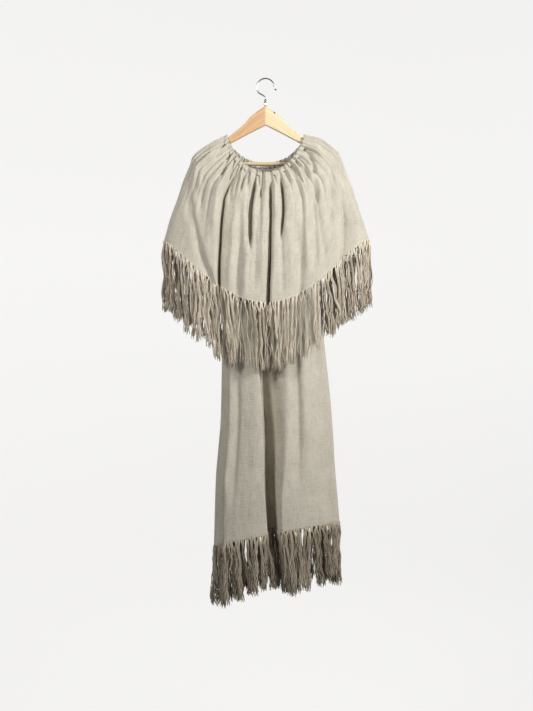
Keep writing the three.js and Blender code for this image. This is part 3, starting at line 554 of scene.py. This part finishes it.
def new_mesh(name, points, faces, uv=None, tones=None):
    """An object from points in millimetres, with each point's place in the weave and its tone."""
    mesh = bpy.data.meshes.new(name)
    mesh.from_pydata((points.reshape(-1, 3) * MM).tolist(), [], faces)
    if uv is not None:
        layer = mesh.uv_layers.new(name="cloth")
        corners = np.empty(len(mesh.loops), dtype=np.int32)
        mesh.loops.foreach_get("vertex_index", corners)
        layer.data.foreach_set("uv", uv[corners].astype(np.float32).ravel())
    if tones is not None:
        shade = mesh.attributes.new("tone", "FLOAT", "POINT")
        shade.data.foreach_set("value", tones)
    mesh.shade_smooth()
    mesh.update()
    return add_object(name, mesh)


def grid_normals(grid, back):
    down = np.gradient(grid, axis=0)
    along = np.gradient(grid, axis=1)
    return unit(np.cross(down, along) * (-1 if back else 1))


def grid_quads(rows, cols):
    at = np.arange(rows * cols).reshape(rows, cols)
    return at, np.stack([at[:-1, :-1], at[1:, :-1], at[1:, 1:], at[:-1, 1:]], axis=-1).reshape(-1, 4)


def shell_faces(rows, cols, flip):
    at, quads = grid_quads(rows, cols)
    inner = quads[:, ::-1] + rows * cols
    edges = []
    for line in (at[0, :], at[::-1, -1], at[-1, ::-1], at[:, 0]):
        a, b = line[:-1], line[1:]
        edges.append(np.stack([a, b, b + rows * cols, a + rows * cols], axis=-1))
    edges[3] = edges[3][:, ::-1]
    faces = np.concatenate([quads, inner, *edges])
    return (faces[:, ::-1] if flip else faces).tolist()


CUT_RADIUS = 1018
CUT_TURN = 0.53
WEAVE_WIDE = (260, 400)  # at the dress's neck and hem
INNER_WEAVE = 0.37  # so that the weave's threads differ on the inner face


def weave_place(panel, column, down):
    """Where a point of the panel lies in the weave, in millimetres. The cape is cut as an arc."""
    if panel["gathers"]:
        angle = (column - 0.5) * CUT_TURN
        radius = CUT_RADIUS + down * panel["length"]
        return np.stack([radius * np.sin(angle), -radius * np.cos(angle)], axis=-1)
    wide = lerp(*WEAVE_WIDE, smooth(0, 1, down))
    return np.stack([(column - 0.5) * wide, -down * panel["length"]], axis=-1)


def cloth_panel(name, columns, downs):
    panel = PANELS[name]
    down, column = np.meshgrid(downs, columns, indexing="ij")
    outer = face(panel, column, down)
    normals = grid_normals(outer, panel["back"])
    inner = outer - WALL * normals
    points = np.concatenate([outer.reshape(-1, 3), inner.reshape(-1, 3)])
    flat = weave_place(panel, column, down).reshape(-1, 2) * MM
    faces = shell_faces(*column.shape, flip=panel["back"])
    return new_mesh("linen_" + name, points, faces, np.concatenate([flat, flat + INNER_WEAVE]))


def running(steps):
    """How far along a line each point is, from the lengths between the points."""
    return np.concatenate([[0], np.cumsum(steps)])


def spread(count, dense, width, extra):
    """Columns evenly spaced, with more of them near the places in dense."""
    place = np.linspace(0, 1, 2001)
    weight = np.ones_like(place)
    for at in dense:
        weight += extra * np.exp(-(((place - at) / width) ** 2))
    run = running((weight[1:] + weight[:-1]) / 2)
    return np.interp(np.linspace(0, run[-1], count + 1), run, place)


cuts = [fold["end"] for fold in CAPE_FRONT_FOLDS if fold["cut"]]
cape_top = SEAM_DOWN - 0.006
pieces = {
    "cape_front": cloth_panel("cape_front", spread(410, cuts, 0.02, 1.6), np.linspace(cape_top, 1, 104)),
    "cape_back": cloth_panel("cape_back", spread(264, [], 0.02, 0), np.linspace(cape_top, 1, 84)),
    "dress_front": cloth_panel("dress_front", spread(220, [PLEAT_ROWS[-1]["place"]], 0.035, 3.0),
                               np.linspace(0, 1, 170)),
    "dress_back": cloth_panel("dress_back", spread(150, [], 0.02, 0), np.linspace(0, 1, 130)),
}


# The neck casing: the cape's gathers run up over it to a folded top edge

CASING_PROFILE = [  # down the casing, and out from the cape's face
    (1.06, -1.2), (1, -0.1), (0.9, 0.15), (0.75, 0.4), (0.5, 0.8), (0.2, 0.8), (0.02, 0.5), (-0.06, -0.4),
    (-0.03, -1.8), (0.12, -2.5), (0.5, -2.7), (0.85, -2.6), (1.03, -2.2),
]


def casing():
    sections = []
    for name, count in (("cape_front", 560), ("cape_back", 520)):
        panel = PANELS[name]
        column = np.arange(count) / count
        if panel["back"]:
            column = 1 - column
        down_seam = np.full(count, SEAM_DOWN)
        across = slide(column, panel["folds"], down_seam)
        wave = gathers(panel, column, across, down_seam)
        wave = wave + 0.35 * (knots(panel["seed"] + 9, 90 * column) - 0.5) * calm(0.04, column)
        deeper = calm(0.1, across)
        frill = knots(panel["seed"] + 8, 70 * column)
        ring = []
        for share, out in CASING_PROFILE:
            ruffle = (0.07 * wave + 0.5 * (frill - 0.5)) * (1 - share)
            down = np.clip(share - ruffle, -0.4, 1.2) * CASING_HEIGHT / CAPE_LENGTH
            base = cape_base(panel["back"], across, down)
            base[..., 2] += np.where(down < 0, -down * CAPE_LENGTH * 0.8, 0)
            base[..., 1] = np.where((across == 0) | (across == 1), 0, base[..., 1])
            normal = normal_of(cape_base, panel["back"], across, down)
            thick = np.where(out < -1, (out + 1) * lerp(0, 1.3, deeper), 0)
            ring.append(base + normal * (wave + out + thick)[..., None])
        sections.append(np.stack(ring, axis=1))
    ring = np.concatenate(sections)
    count, sides = ring.shape[:2]
    at = np.arange(count * sides).reshape(count, sides)
    after, beside = np.roll(at, -1, axis=0), np.roll(at, -1, axis=1)
    both = np.roll(after, -1, axis=1)
    faces = np.stack([at, after, both, beside], axis=-1).reshape(-1, 4).tolist()
    u = np.repeat(np.arange(count) * 1.0, sides)
    v = np.tile(np.arange(sides) * 2.6, count)
    return new_mesh("linen_casing", ring, faces, np.stack([u, v], axis=-1) * MM)


pieces["neck_casing"] = casing()


# Yarn: many tubes in one mesh

def tubes(name, paths, radii, sides, tones):
    """paths is (tubes, rings, 3), and radii and tones are (tubes, rings)."""
    count, rings = radii.shape
    ahead = unit(np.gradient(paths, axis=1))
    side = unit(np.cross(ahead, np.array([0.31, 0.95, 0.05])))
    up = np.cross(side, ahead)
    turn = 2 * np.pi * np.arange(sides) / sides
    ring = side[:, :, None] * np.cos(turn)[:, None] + up[:, :, None] * np.sin(turn)[:, None]
    points = paths[:, :, None] + ring * radii[:, :, None, None]
    at = np.arange(count * rings * sides).reshape(count, rings, sides)
    a, b = at[:, :-1], at[:, 1:]
    walls = np.stack([a, np.roll(a, -1, axis=2), np.roll(b, -1, axis=2), b], axis=-1).reshape(-1, 4)
    faces = [*walls.tolist(), *at[:, 0, ::-1].tolist(), *at[:, -1].tolist()]
    long = np.array([running(steps) for steps in np.linalg.norm(np.diff(paths, axis=1), axis=-1)])
    uv = np.stack(np.broadcast_arrays(np.arange(sides) / sides, long[:, :, None] * MM), axis=-1)
    tones = np.repeat(np.asarray(tones, dtype=np.float32).ravel(), sides)
    return new_mesh(name, points, faces, uv.reshape(-1, 2), tones)


def outward(panel, line, above):
    """Which way the cloth faces along a line on it, given a second line just above."""
    return unit(np.cross(line - above, np.gradient(line, axis=0)) * (-1 if panel["back"] else 1))


def hem_of(name, count=600):
    panel = PANELS[name]
    column = np.linspace(0, 1, count)
    line = face(panel, column, np.ones(count))
    return line, outward(panel, line, face(panel, column, np.full(count, 0.985)))


def strand_roots(line, count):
    run = running(np.linalg.norm(np.diff(line[:, :2], axis=0), axis=1))
    roots = []
    for n in range(count):
        at = np.interp(run[-1] * (n + 0.5) / count, run, np.arange(len(run)))
        point = line[int(at)]
        if all(math.dist(point[:2], line[int(other)][:2]) > STRAND_CLEAR for other in roots):
            roots.append(at)
    return np.array(roots)


def at_place(values, place):
    low = np.clip(np.floor(place).astype(int), 0, len(values) - 2)
    share = (place - low)[..., None]
    return lerp(values[low], values[low + 1], share)


def lock_ends(roots, spec, draw):
    """Where each strand's end hangs: listed for what shows in front, and drawn for the back."""
    ends, share_of = np.zeros_like(roots), np.ones(len(roots))
    if spec["locks"]:
        lock_of = np.searchsorted([lock["upto"] for lock in spec["locks"]], roots[:, 0])
    else:
        sizes = draw.integers(2, 6, len(roots))
        lock_of = np.repeat(np.arange(len(sizes)), sizes)[: len(roots)]
    for lock in np.unique(lock_of):
        mine = np.flatnonzero(lock_of == lock)
        middle = roots[mine].mean(axis=0)
        drop = roots[mine, 2].min() - spec["length"] * draw.uniform(0.95, 1.06)
        half = 0.46 * np.ptp(roots[mine, 0])
        x = middle[0]
        if spec["locks"]:
            given = spec["locks"][lock]
            x, half, drop = given["x"], given["half"], given["z"]
            share_of[mine] = given.get("share", 1)
        share = (np.arange(len(mine)) + 0.5) / len(mine) * 2 - 1
        ends[mine, 0] = x + half * share
        ends[mine, 1] = lerp(roots[mine, 1], middle[1], 0.4)
        steep = roots[mine, 2] - middle[2]
        ends[mine, 2] = drop + 0.35 * np.maximum(0, steep) + draw.uniform(0, 9, len(mine))
        inward = np.stack([-middle[0] * SIDE_LEAN, -middle[1]])
        ends[mine, 1] += spec["lean"] * (inward / np.linalg.norm(inward))[1]
    return ends, share_of


RINGS = 24
STRAND_HALF = (1.9, 3.0)
STRAND_SWAY = (2.6, 1.8)  # sideways and out
YARN_SWAY = ((0.9, 2.4), (0.8, 1.6))  # the same, in short waves and in long ones
YARN_RADIUS = (1.1, 1.6)
STRAY_RADIUS = (0.45, 0.8)
STITCH_RADIUS = 0.42
STITCH_PITCH = 4.6
STITCH_ABOVE = 3.2  # the hem


def waves(draw, t, size, least, most):
    """A wandering curve that starts at rest: two waves with drawn lengths."""
    out = np.zeros_like(t)
    for share in (0.65, 0.35):
        turns, start = draw.uniform(least, most), draw.uniform(0, 2 * np.pi)
        out += share * (np.sin(2 * np.pi * turns * t + start) - np.sin(start) * (1 - t))
    return size * out


def strand_yarns(draw, spec, line, normal, place, root, end, spacing, share):
    """One strand: a few yarns that leave the hem in two legs, meet, and hang side by side."""
    t = np.linspace(0, 1, RINGS)
    centre = root + (end - root) * smooth(0, 1, t ** 0.85)[:, None]
    centre[:, 2] = lerp(root[2], end[2], t)
    for axis, sway in enumerate(STRAND_SWAY):
        centre[:, axis] += waves(draw, t, sway, 0.8, 2.6)
    meets = draw.uniform(0.05, 0.22)
    apart = draw.uniform(0.3, 1.0) * spacing
    broad = draw.uniform(*STRAND_HALF) * spec["full"]
    flat_turn = draw.uniform(-0.5, 0.5)
    cos, sin = math.cos(flat_turn), math.sin(flat_turn)
    twist = draw.uniform(-1.1, 1.1)
    tone = draw.uniform(0, 1)
    count = max(2, round(spec["yarns"] * share))
    for k in range(count):
        leg = -0.5 if k < count / 2 else 0.5
        start = np.array(np.clip(place + apart * (leg + draw.uniform(-0.2, 0.2)), 0, len(line) - 1))
        begin, out = at_place(line, start), at_place(normal, start)
        joined = smooth(0, meets, t)
        angle = 2 * np.pi * (k + draw.uniform(-0.3, 0.3)) / count + twist * 2 * np.pi * t
        size = broad * draw.uniform(0.7, 1.1) * (0.8 + 1.1 * smooth(0.35, 1, t))
        wide, deep = size * np.cos(angle), 0.55 * size * np.sin(angle)
        offset = np.stack([wide * cos - deep * sin, wide * sin + deep * cos, 0 * t], axis=-1)
        path = centre + (begin - root) * (1 - joined)[:, None] + offset * joined[:, None]
        for axis, (short, slow) in enumerate(YARN_SWAY):
            path[:, axis] += joined * (waves(draw, t, short, 3, 7) + waves(draw, t, slow, 1, 3) * t)
        path[:, 2] += draw.uniform(-4, 9) * t ** 2 + 2.4 * (1 - smooth(0, 0.04, t))
        path += out * (0.7 * (1 - smooth(0, 0.05, t)))[:, None]
        thick = draw.uniform(*YARN_RADIUS)
        radius = thick * (0.75 + 0.25 * smooth(0, 0.1, t)) * (1 - 0.55 * smooth(0.93, 1, t))
        radius *= 1 + 0.16 * waves(draw, t, 1, 5, 10)
        pale = lerp(1.0, 0.55 * tone + 0.45 * draw.uniform(0, 1), smooth(0, 0.16, t)) - 0.1 * t
        yield path, radius, pale


def stray_yarn(draw, line, normal, length):
    """A single loose thread, in front of the locks and curlier than they are."""
    t = np.linspace(0, 1, RINGS)
    start = np.array(draw.uniform(0.06, 0.94) * (len(line) - 1))
    root, out = at_place(line, start), at_place(normal, start)
    long = length * draw.uniform(0.25, 1.0)
    path = root + np.zeros((RINGS, 3))
    path[:, 2] -= long * t * draw.uniform(0.8, 1)
    path[:, 0] += waves(draw, t, draw.uniform(2, 6), 0.7, 2.6) * smooth(0, 0.2, t)
    path += out * (draw.uniform(1, 5) * smooth(0, 0.3, t) - 0.5 * (1 - smooth(0, 0.05, t)))[:, None]
    path[:, 1] += waves(draw, t, 2.5, 0.7, 2.6) * smooth(0, 0.2, t)
    radius = draw.uniform(*STRAY_RADIUS) * (1 - 0.5 * smooth(0.9, 1, t))
    return path, radius, np.full(RINGS, draw.uniform(0.75, 1.15))


def fringe(spec):
    draw = np.random.default_rng(spec["seed"])
    line, normal = hem_of(spec["sheet"])
    places = strand_roots(line, spec["count"])
    roots = at_place(line, places)
    ends, shares = lock_ends(roots, spec, draw)
    gaps = np.gradient(places)
    made = []
    for place, root, end, gap, share in zip(places, roots, ends, gaps, shares):
        made += strand_yarns(draw, spec, line, normal, place, root, end, gap, share)
    made += [stray_yarn(draw, line, normal, spec["length"]) for _ in range(spec["strays"])]
    paths, radii, tones = (np.array(part) for part in zip(*made))
    return tubes("yarn_" + spec["node"], paths, radii, 5, tones)


for spec in FRINGES:
    pieces[spec["node"]] = fringe(spec)


# Running stitches along the hems

def stitches(sheet, points=1500):
    panel = PANELS[sheet]
    column = np.linspace(0.004, 0.996, points)
    down = np.full(points, 1 - STITCH_ABOVE / panel["length"])
    line = face(panel, column, down)
    normal = outward(panel, line, face(panel, column, down - 0.01))
    run = running(np.linalg.norm(np.diff(line, axis=0), axis=1))
    even = np.linspace(0, run[-1], int(run[-1] / STITCH_PITCH) * 4)
    place = np.interp(even, run, np.arange(len(run)))
    lift = 0.45 * np.cos(2 * np.pi * even / STITCH_PITCH) + 0.1
    path = at_place(line, place) + at_place(normal, place) * lift[:, None]
    radii = np.full((1, len(even)), STITCH_RADIUS)
    return tubes("stitch_" + sheet, path[None], radii, 4, np.full((1, len(even)), 0.9))


for sheet in PANELS:
    pieces["stitch_" + sheet] = stitches(sheet)


# Hanger

ARM_SECTIONS = table("out top bottom", [
    (0.2, -73, -127), (8, -79, -131), (27, -92.5, -140.5), (45, -109, -149.5), (60, -126, -157.5),
    (78, -141, -167), (92, -152.5, -174.5), (104, -162, -181), (122, -173.5, -191), (144, -185, -207),
    (168, -200, -228), (184, -212, -240.5), (193, -220.5, -244),
])
ARM_THICK = 12
ARM_ROUND = 2.6
BAR_RADIUS = 5.2
BAR_Z = -232.7
BAR_HALF = 184
WIRE_RADIUS = 1.9
HOOK_RADIUS = 24


def round_section(half, top, bottom, radius, steps=5):
    points = []
    for sy, sz, start in ((1, 1, 0), (-1, 1, 90), (-1, -1, 180), (1, -1, 270)):
        y, z = sy * half, top if sz > 0 else bottom
        for k in range(steps + 1):
            turn = math.radians(start + 90 * k / steps)
            points.append((y - sy * radius + radius * math.cos(turn),
                           z - sz * radius + radius * math.sin(turn)))
    return points


def loft(name, sections, uv):
    """A closed solid through rings of points, with its faces turned out."""
    sections = np.asarray(sections, float)
    count, sides = sections.shape[:2]
    at = np.arange(count * sides).reshape(count, sides)
    a, b = at[:-1], at[1:]
    walls = np.stack([a, b, np.roll(b, -1, axis=1), np.roll(a, -1, axis=1)], axis=-1).reshape(-1, 4)
    faces = [*walls.tolist(), at[0].tolist(), at[-1, ::-1].tolist()]
    obj = new_mesh(name, sections, faces, np.asarray(uv).reshape(-1, 2) * MM)
    made = bmesh.new()
    made.from_mesh(obj.data)
    bmesh.ops.recalc_face_normals(made, faces=made.faces)
    made.to_mesh(obj.data)
    made.free()
    return obj


def arm(name, side):
    top, bottom = reader(ARM_SECTIONS, "top", "out"), reader(ARM_SECTIONS, "bottom", "out")
    sections, uv = [], []
    for out in np.concatenate([[0.2, 0.5, 1.2], np.linspace(3, 190, 60), [192, 193]]):
        shrink = 0.9 * max(0, (out - 190) / 3) ** 2 + 0.5 * max(0, (1.2 - out)) ** 2
        high, low = float(top(out)) - shrink, float(bottom(out)) + shrink
        ring = round_section(ARM_THICK / 2 - shrink, high, low, ARM_ROUND)
        sections.append([(side * out, y, z) for y, z in ring])
        uv.append([(side * out, z - (high + low) / 2 + 3 * y) for y, z in ring])
    return loft(name, sections, uv)


def bar():
    sections, uv = [], []
    turns = 2 * np.pi * np.arange(28) / 28
    for x in np.linspace(-BAR_HALF, BAR_HALF, 40):
        sections.append([(x, BAR_RADIUS * math.cos(a), BAR_Z + BAR_RADIUS * math.sin(a)) for a in turns])
        uv.append([(x, BAR_RADIUS * 2 * a) for a in turns])
    return loft("wood_bar", sections, uv)


def hook():
    middle = WIRE_RADIUS - HOOK_RADIUS
    line = [(0, -54.5), (-1, -50.5), (-6, -45)]
    for degrees in np.linspace(225, 8, 15):
        turn = math.radians(degrees)
        line.append((HOOK_RADIUS * math.cos(turn), middle + HOOK_RADIUS * math.sin(turn)))
    line += [(26, -27.5), (30, -30)]
    padded = np.array([line[0], *line, line[-1]], float)
    fine = np.linspace(0, len(line) - 1, 120)
    low = np.clip(np.floor(fine).astype(int), 0, len(line) - 2)
    t = (fine - low)[:, None]
    p0, p1, p2, p3 = (padded[low + k] for k in range(4))
    path = 0.5 * (2 * p1 + (p2 - p0) * t + (2 * p0 - 5 * p1 + 4 * p2 - p3) * t ** 2
                  + (3 * p1 - p0 - 3 * p2 + p3) * t ** 3)
    collar = [(-72.6, 4.2), (-72.0, 4.5), (-66, 4.5), (-64.5, 4.1), (-58, 4.0), (-56.6, 3.6), (-55.8, 2.2)]
    centres = np.array([*[(0, z) for z, _ in collar], *path, (30.6, -30.3)])
    radii = [*[radius for _, radius in collar], *[WIRE_RADIUS] * len(path), 1.3]
    ahead = np.gradient(centres, axis=0)
    ahead[: len(collar)] = (0, 1)
    ahead = unit(ahead)
    sections, uv = [], []
    turns = 2 * np.pi * np.arange(18) / 18
    for (x, z), (ax, az), radius in zip(centres, ahead, radii):
        sections.append([(x + radius * math.sin(a) * -az, radius * math.cos(a), z + radius * math.sin(a) * ax)
                         for a in turns])
        uv.append([(x, z)] * len(turns))
    return loft("steel_hook", sections, uv)


pieces["hanger_arm_left"] = arm("wood_arm_left", -1)
pieces["hanger_arm_right"] = arm("wood_arm_right", 1)
pieces["hanger_bar"] = bar()
pieces["hanger_hook"] = hook()


# Materials

class Looks:
    """A material's node tree, with short calls to add and join nodes."""

    def __init__(self, name):
        self.material = bpy.data.materials.new(name)
        self.material.use_nodes = True
        self.tree = self.material.node_tree
        self.shader = self.tree.nodes["Principled BSDF"]

    def put(self, value, socket):
        """Joins another node's output to a socket, or sets a plain value on it."""
        if isinstance(value, bpy.types.NodeSocket):
            self.tree.links.new(value, socket)
        else:
            socket.default_value = value

    def node(self, kind, output, inputs, **settings):
        """Adds a node with its settings and inputs, and gives one of its outputs."""
        node = self.tree.nodes.new("ShaderNode" + kind)
        for key, value in settings.items():
            setattr(node, key, value)
        for key, value in inputs.items():
            self.put(value, node.inputs[key])
        return node.outputs[output]

    def set(self, **values):
        for key, value in values.items():
            self.put(value, self.shader.inputs[key.replace("_", " ")])
        return self.material

    def weave(self):
        return self.node("UVMap", "UV", {}, uv_map="cloth")

    def noise(self, place, scale, detail=3.0, rough=0.5):
        scaled = self.node("Mapping", "Vector", {"Vector": place, "Scale": scale})
        inputs = {"Vector": scaled, "Scale": 1.0, "Detail": detail, "Roughness": rough}
        return self.node("TexNoise", "Fac", inputs)

    def ramp(self, value, stops):
        colour = self.node("ValToRGB", "Color", {"Fac": value})
        for element, (place, shade) in zip(colour.node.color_ramp.elements, stops):
            element.position = place
            element.color = (*shade, 1)
        return colour

    def mix(self, share, a, b, blend="MIX"):
        # Sockets 6 and 7 and output 2 are the colour ones
        return self.node("Mix", 2, {0: share, 6: a, 7: b}, data_type="RGBA", blend_type=blend)

    def math(self, operation, a, b):
        return self.node("Math", "Value", {0: a, 1: b}, operation=operation)

    def total(self, *parts):
        """The sum of values, each times its own share."""
        out, *others = [self.math("MULTIPLY", value, share) for value, share in parts]
        for other in others:
            out = self.math("ADD", out, other)
        return out

    def bump(self, height, distance, strength, **under):
        inputs = {"Height": height, "Distance": distance, "Strength": strength, **under}
        return self.node("Bump", "Normal", inputs)


def linen():
    look = Looks("linen")
    place = look.weave()
    threads = look.math("ADD", look.noise(place, (1150, 60, 1), 2.0), look.noise(place, (60, 1150, 1), 2.0))
    slubs = look.math("ADD", look.noise(place, (420, 34, 1), 2.0), look.noise(place, (48, 460, 1), 2.0))
    streaks = look.math("ADD", look.noise(place, (210, 22, 1), rough=0.6),
                        look.noise(place, (30, 240, 1), rough=0.6))
    blotch = look.noise(place, (22, 16, 1), 4.0, 0.6)
    colour = look.ramp(blotch, [(0.3, (0.495, 0.462, 0.39)), (0.7, (0.56, 0.525, 0.45))])
    for share, pattern, low, dark, light in (
        (0.65, threads, 0.72, (0.78, 0.76, 0.72), 1.1),
        (0.34, slubs, 0.8, (0.84, 0.83, 0.81), 1.12),
        (0.32, streaks, 0.7, (0.8, 0.785, 0.76), 1.16),
    ):
        colour = look.mix(share, colour, look.ramp(pattern, [(low, dark), (1, (light,) * 3)]), "MULTIPLY")
    fine = look.bump(threads, 0.0006, 0.6)
    coarse = look.bump(look.math("ADD", slubs, streaks), 0.0012, 0.6, Normal=fine)
    return look.set(Base_Color=colour, Normal=coarse, Roughness=0.92, Sheen_Weight=0.12, Sheen_Roughness=0.6,
                    Specular_IOR_Level=0.2)


def yarn(name, dark, light):
    look = Looks(name)
    place = look.weave()
    tone = look.node("Attribute", "Fac", {}, attribute_name="tone")
    fibres = look.noise(place, (6, 260, 1), 3.0, 0.6)
    patches = look.noise(place, (1, 45, 1), 2.0)
    value = look.total((tone, 0.55), (fibres, 0.35), (patches, 0.25))
    return look.set(Base_Color=look.ramp(value, [(0.2, dark), (0.85, light)]),
                    Normal=look.bump(fibres, 0.0006, 0.7), Roughness=0.95, Sheen_Weight=0.1,
                    Sheen_Roughness=0.6, Specular_IOR_Level=0.15)


def wood(name, pale, dark, knot=None):
    look = Looks(name)
    place = look.weave()
    broad = look.noise(place, (9, 130, 1), 3.0, 0.55)
    fine = look.noise(place, (22, 900, 1), 2.0)
    colour = look.ramp(look.total((broad, 0.75), (fine, 0.25)), [(0.34, dark), (0.66, pale)])
    if knot:
        seen = look.node("TexCoord", "Object", {})
        spot = look.node("Mapping", "Vector", {"Vector": seen, **knot}, vector_type="TEXTURE")
        away = look.node("VectorMath", "Value", {0: spot, 1: (0, 0, 0)}, operation="DISTANCE")
        ringed = look.math("ADD", away, look.math("MULTIPLY", fine, 0.35))
        share = look.ramp(ringed, [(0.55, (1, 1, 1)), (1, (0, 0, 0))])
        colour = look.mix(share, colour, KNOT_COLOUR)
    return look.set(Base_Color=colour, Normal=look.bump(fine, 0.0003, 0.35), Roughness=0.42, Coat_Weight=0.25,
                    Coat_Roughness=0.3, Specular_IOR_Level=0.4)


def steel():
    look = Looks("steel")
    wear = look.noise(look.node("TexCoord", "Object", {}), (220, 220, 420), 4.0)
    rough = look.ramp(wear, [(0.3, (0.16, 0.16, 0.16)), (0.75, (0.36, 0.36, 0.36))])
    tint = look.ramp(wear, [(0.3, (0.52, 0.53, 0.54)), (0.7, (0.68, 0.69, 0.7))])
    return look.set(Roughness=rough, Base_Color=tint, Normal=look.bump(wear, 0.0002, 0.2), Metallic=1.0)


LINEN = linen()
CAPE_YARN = yarn("cape_yarn", (0.2, 0.155, 0.105), (0.8, 0.72, 0.59))
HEM_YARN = yarn("hem_yarn", (0.085, 0.064, 0.04), (0.56, 0.49, 0.38))
STITCH = yarn("stitch", (0.6, 0.55, 0.46), (0.78, 0.74, 0.66))
KNOT_COLOUR = (0.19, 0.085, 0.03, 1)
KNOT_TURN = (0, math.radians(38), 0)
KNOT = {"Location": (0.0245, -0.006, -0.0935), "Rotation": KNOT_TURN, "Scale": (0.0062, 0.02, 0.0032)}
WARM = wood("warm_wood", (0.80, 0.54, 0.31), (0.60, 0.36, 0.18))
PALE = wood("pale_wood", (0.93, 0.80, 0.56), (0.78, 0.60, 0.34), KNOT)
BAR = wood("bar_wood", (0.78, 0.64, 0.42), (0.6, 0.45, 0.26))
STEEL = steel()

LOOKS = {
    **dict.fromkeys(["neck_casing", *PANELS], (LINEN, "linen")),
    **dict.fromkeys(["cape_fringe_front", "cape_fringe_back"], (CAPE_YARN, "yarn")),
    **dict.fromkeys(["hem_fringe_front", "hem_fringe_back"], (HEM_YARN, "yarn")),
    "hanger_arm_left": (WARM, "warm_wood"),
    "hanger_arm_right": (PALE, "pale_wood"),
    "hanger_bar": (BAR, "bar_wood"),
    "hanger_hook": (STEEL, "steel"),
}
NODES = {"dress_front": ["bodice_front", "skirt_front"], "dress_back": ["bodice_back", "skirt_back"]}
for node, piece in pieces.items():
    material, slot = LOOKS.get(node, (STITCH, "linen"))
    piece.data.materials.append(material)
    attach(piece, "root")
    if node in LOOKS:
        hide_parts(*NODES.get(node, [node]))


# Stage: a pale floor that turns up into a round wall, open at the top, and glows behind the garment

FLOOR_Z = -2500
WALL_RADIUS = 5200
WALL_BEND = 1800
WALL_TOP = 3600


def stage_glow():
    look = Looks("floor")
    seen = look.node("TexCoord", "Object", {})
    parts = look.node("SeparateXYZ", "Y", {"Vector": seen}).node.outputs
    behind = look.math("ADD", look.math("MULTIPLY", parts["Y"], 0.2), 0.2)
    glow = look.ramp(behind, [(0.15, (0.05, 0.05, 0.05)), (0.5, (0.82, 0.815, 0.805))])
    # The glow is dimmed a little towards the floor: a painted shade on the backdrop.
    low = look.math("MULTIPLY", look.math("ADD", parts["Z"], -FLOOR_Z * MM), 0.3)
    painted_low_shade = look.ramp(low, [(0.0, (0.93, 0.93, 0.925)), (0.8, (1, 1, 1))])
    return look.set(Emission_Color=look.mix(1.0, glow, painted_low_shade, "MULTIPLY"), Base_Color=(0.2, 0.2, 0.197, 1),
                    Roughness=1.0, Specular_IOR_Level=0.0, Emission_Strength=1.0)


def stage(steps=12, sides=96):
    profile = [(r, FLOOR_Z) for r in (1, 900, 2000, WALL_RADIUS - WALL_BEND)]
    for k in range(1, steps + 1):
        turn = math.pi / 2 * k / steps
        profile.append((WALL_RADIUS - WALL_BEND + WALL_BEND * math.sin(turn),
                        FLOOR_Z + WALL_BEND - WALL_BEND * math.cos(turn)))
    profile += [(WALL_RADIUS, FLOOR_Z + WALL_BEND + 800), (WALL_RADIUS, WALL_TOP)]
    grid = np.array([[(r * math.cos(a), r * math.sin(a), z) for r, z in profile]
                     for a in np.linspace(0, 2 * np.pi, sides + 1)])
    obj = new_mesh("floor", grid, grid_quads(*grid.shape[:2])[1].tolist())
    obj.data.materials.append(stage_glow())


stage()


# Lights: places and sizes in metres, power in watts, spread in degrees

LIGHT_COLOUR = (1.0, 0.985, 0.96)
LIGHTS = table("name place aim size power spread", [
    ("key", (2.1, -1.9, 0.25), (0.0, 0.0, -0.25), (0.6, 0.7), 23, 95),
    ("fill", (-1.7, -2.3, 0.7), (0.0, 0.0, -0.3), (0.9, 0.9), 12, 95),
    ("back", (1.3, 2.2, 1.0), (0.0, 0.0, -0.5), (1.2, 1.0), 25, 180),
])
WORLD_COLOUR = (0.96, 0.98, 1.0, 1)
WORLD_STRENGTH = 0.14


def area_light(name, place, aim, size, power, spread):
    data = bpy.data.lights.new(name, "AREA")
    data.shape = "RECTANGLE"
    data.size, data.size_y = size
    data.energy = power
    data.color = LIGHT_COLOUR
    data.spread = math.radians(spread)
    lamp = add_object(name, data)
    lamp.location = place
    lamp.rotation_euler = (Vector(aim) - Vector(place)).to_track_quat("-Z", "Y").to_euler()


for light in LIGHTS:
    area_light(**light)

world = bpy.data.worlds.new("world")
world.use_nodes = True
sky = world.node_tree.nodes["Background"].inputs
sky["Color"].default_value = WORLD_COLOUR
sky["Strength"].default_value = WORLD_STRENGTH
bpy.context.scene.world = world

CAMERA = (2.75, -2200, -759.8)
LENS = 40.505
SENSOR = 36
CLIP_END = 60
camera = bpy.data.cameras.new("camera")
camera.lens = LENS
camera.sensor_width = SENSOR
camera.clip_end = CLIP_END
eye = add_object("camera", camera)
eye.location = [value * MM for value in CAMERA]
eye.rotation_euler = (math.pi / 2, 0, 0)
bpy.context.scene.camera = eye

bpy.context.scene.view_settings.view_transform = "Standard"
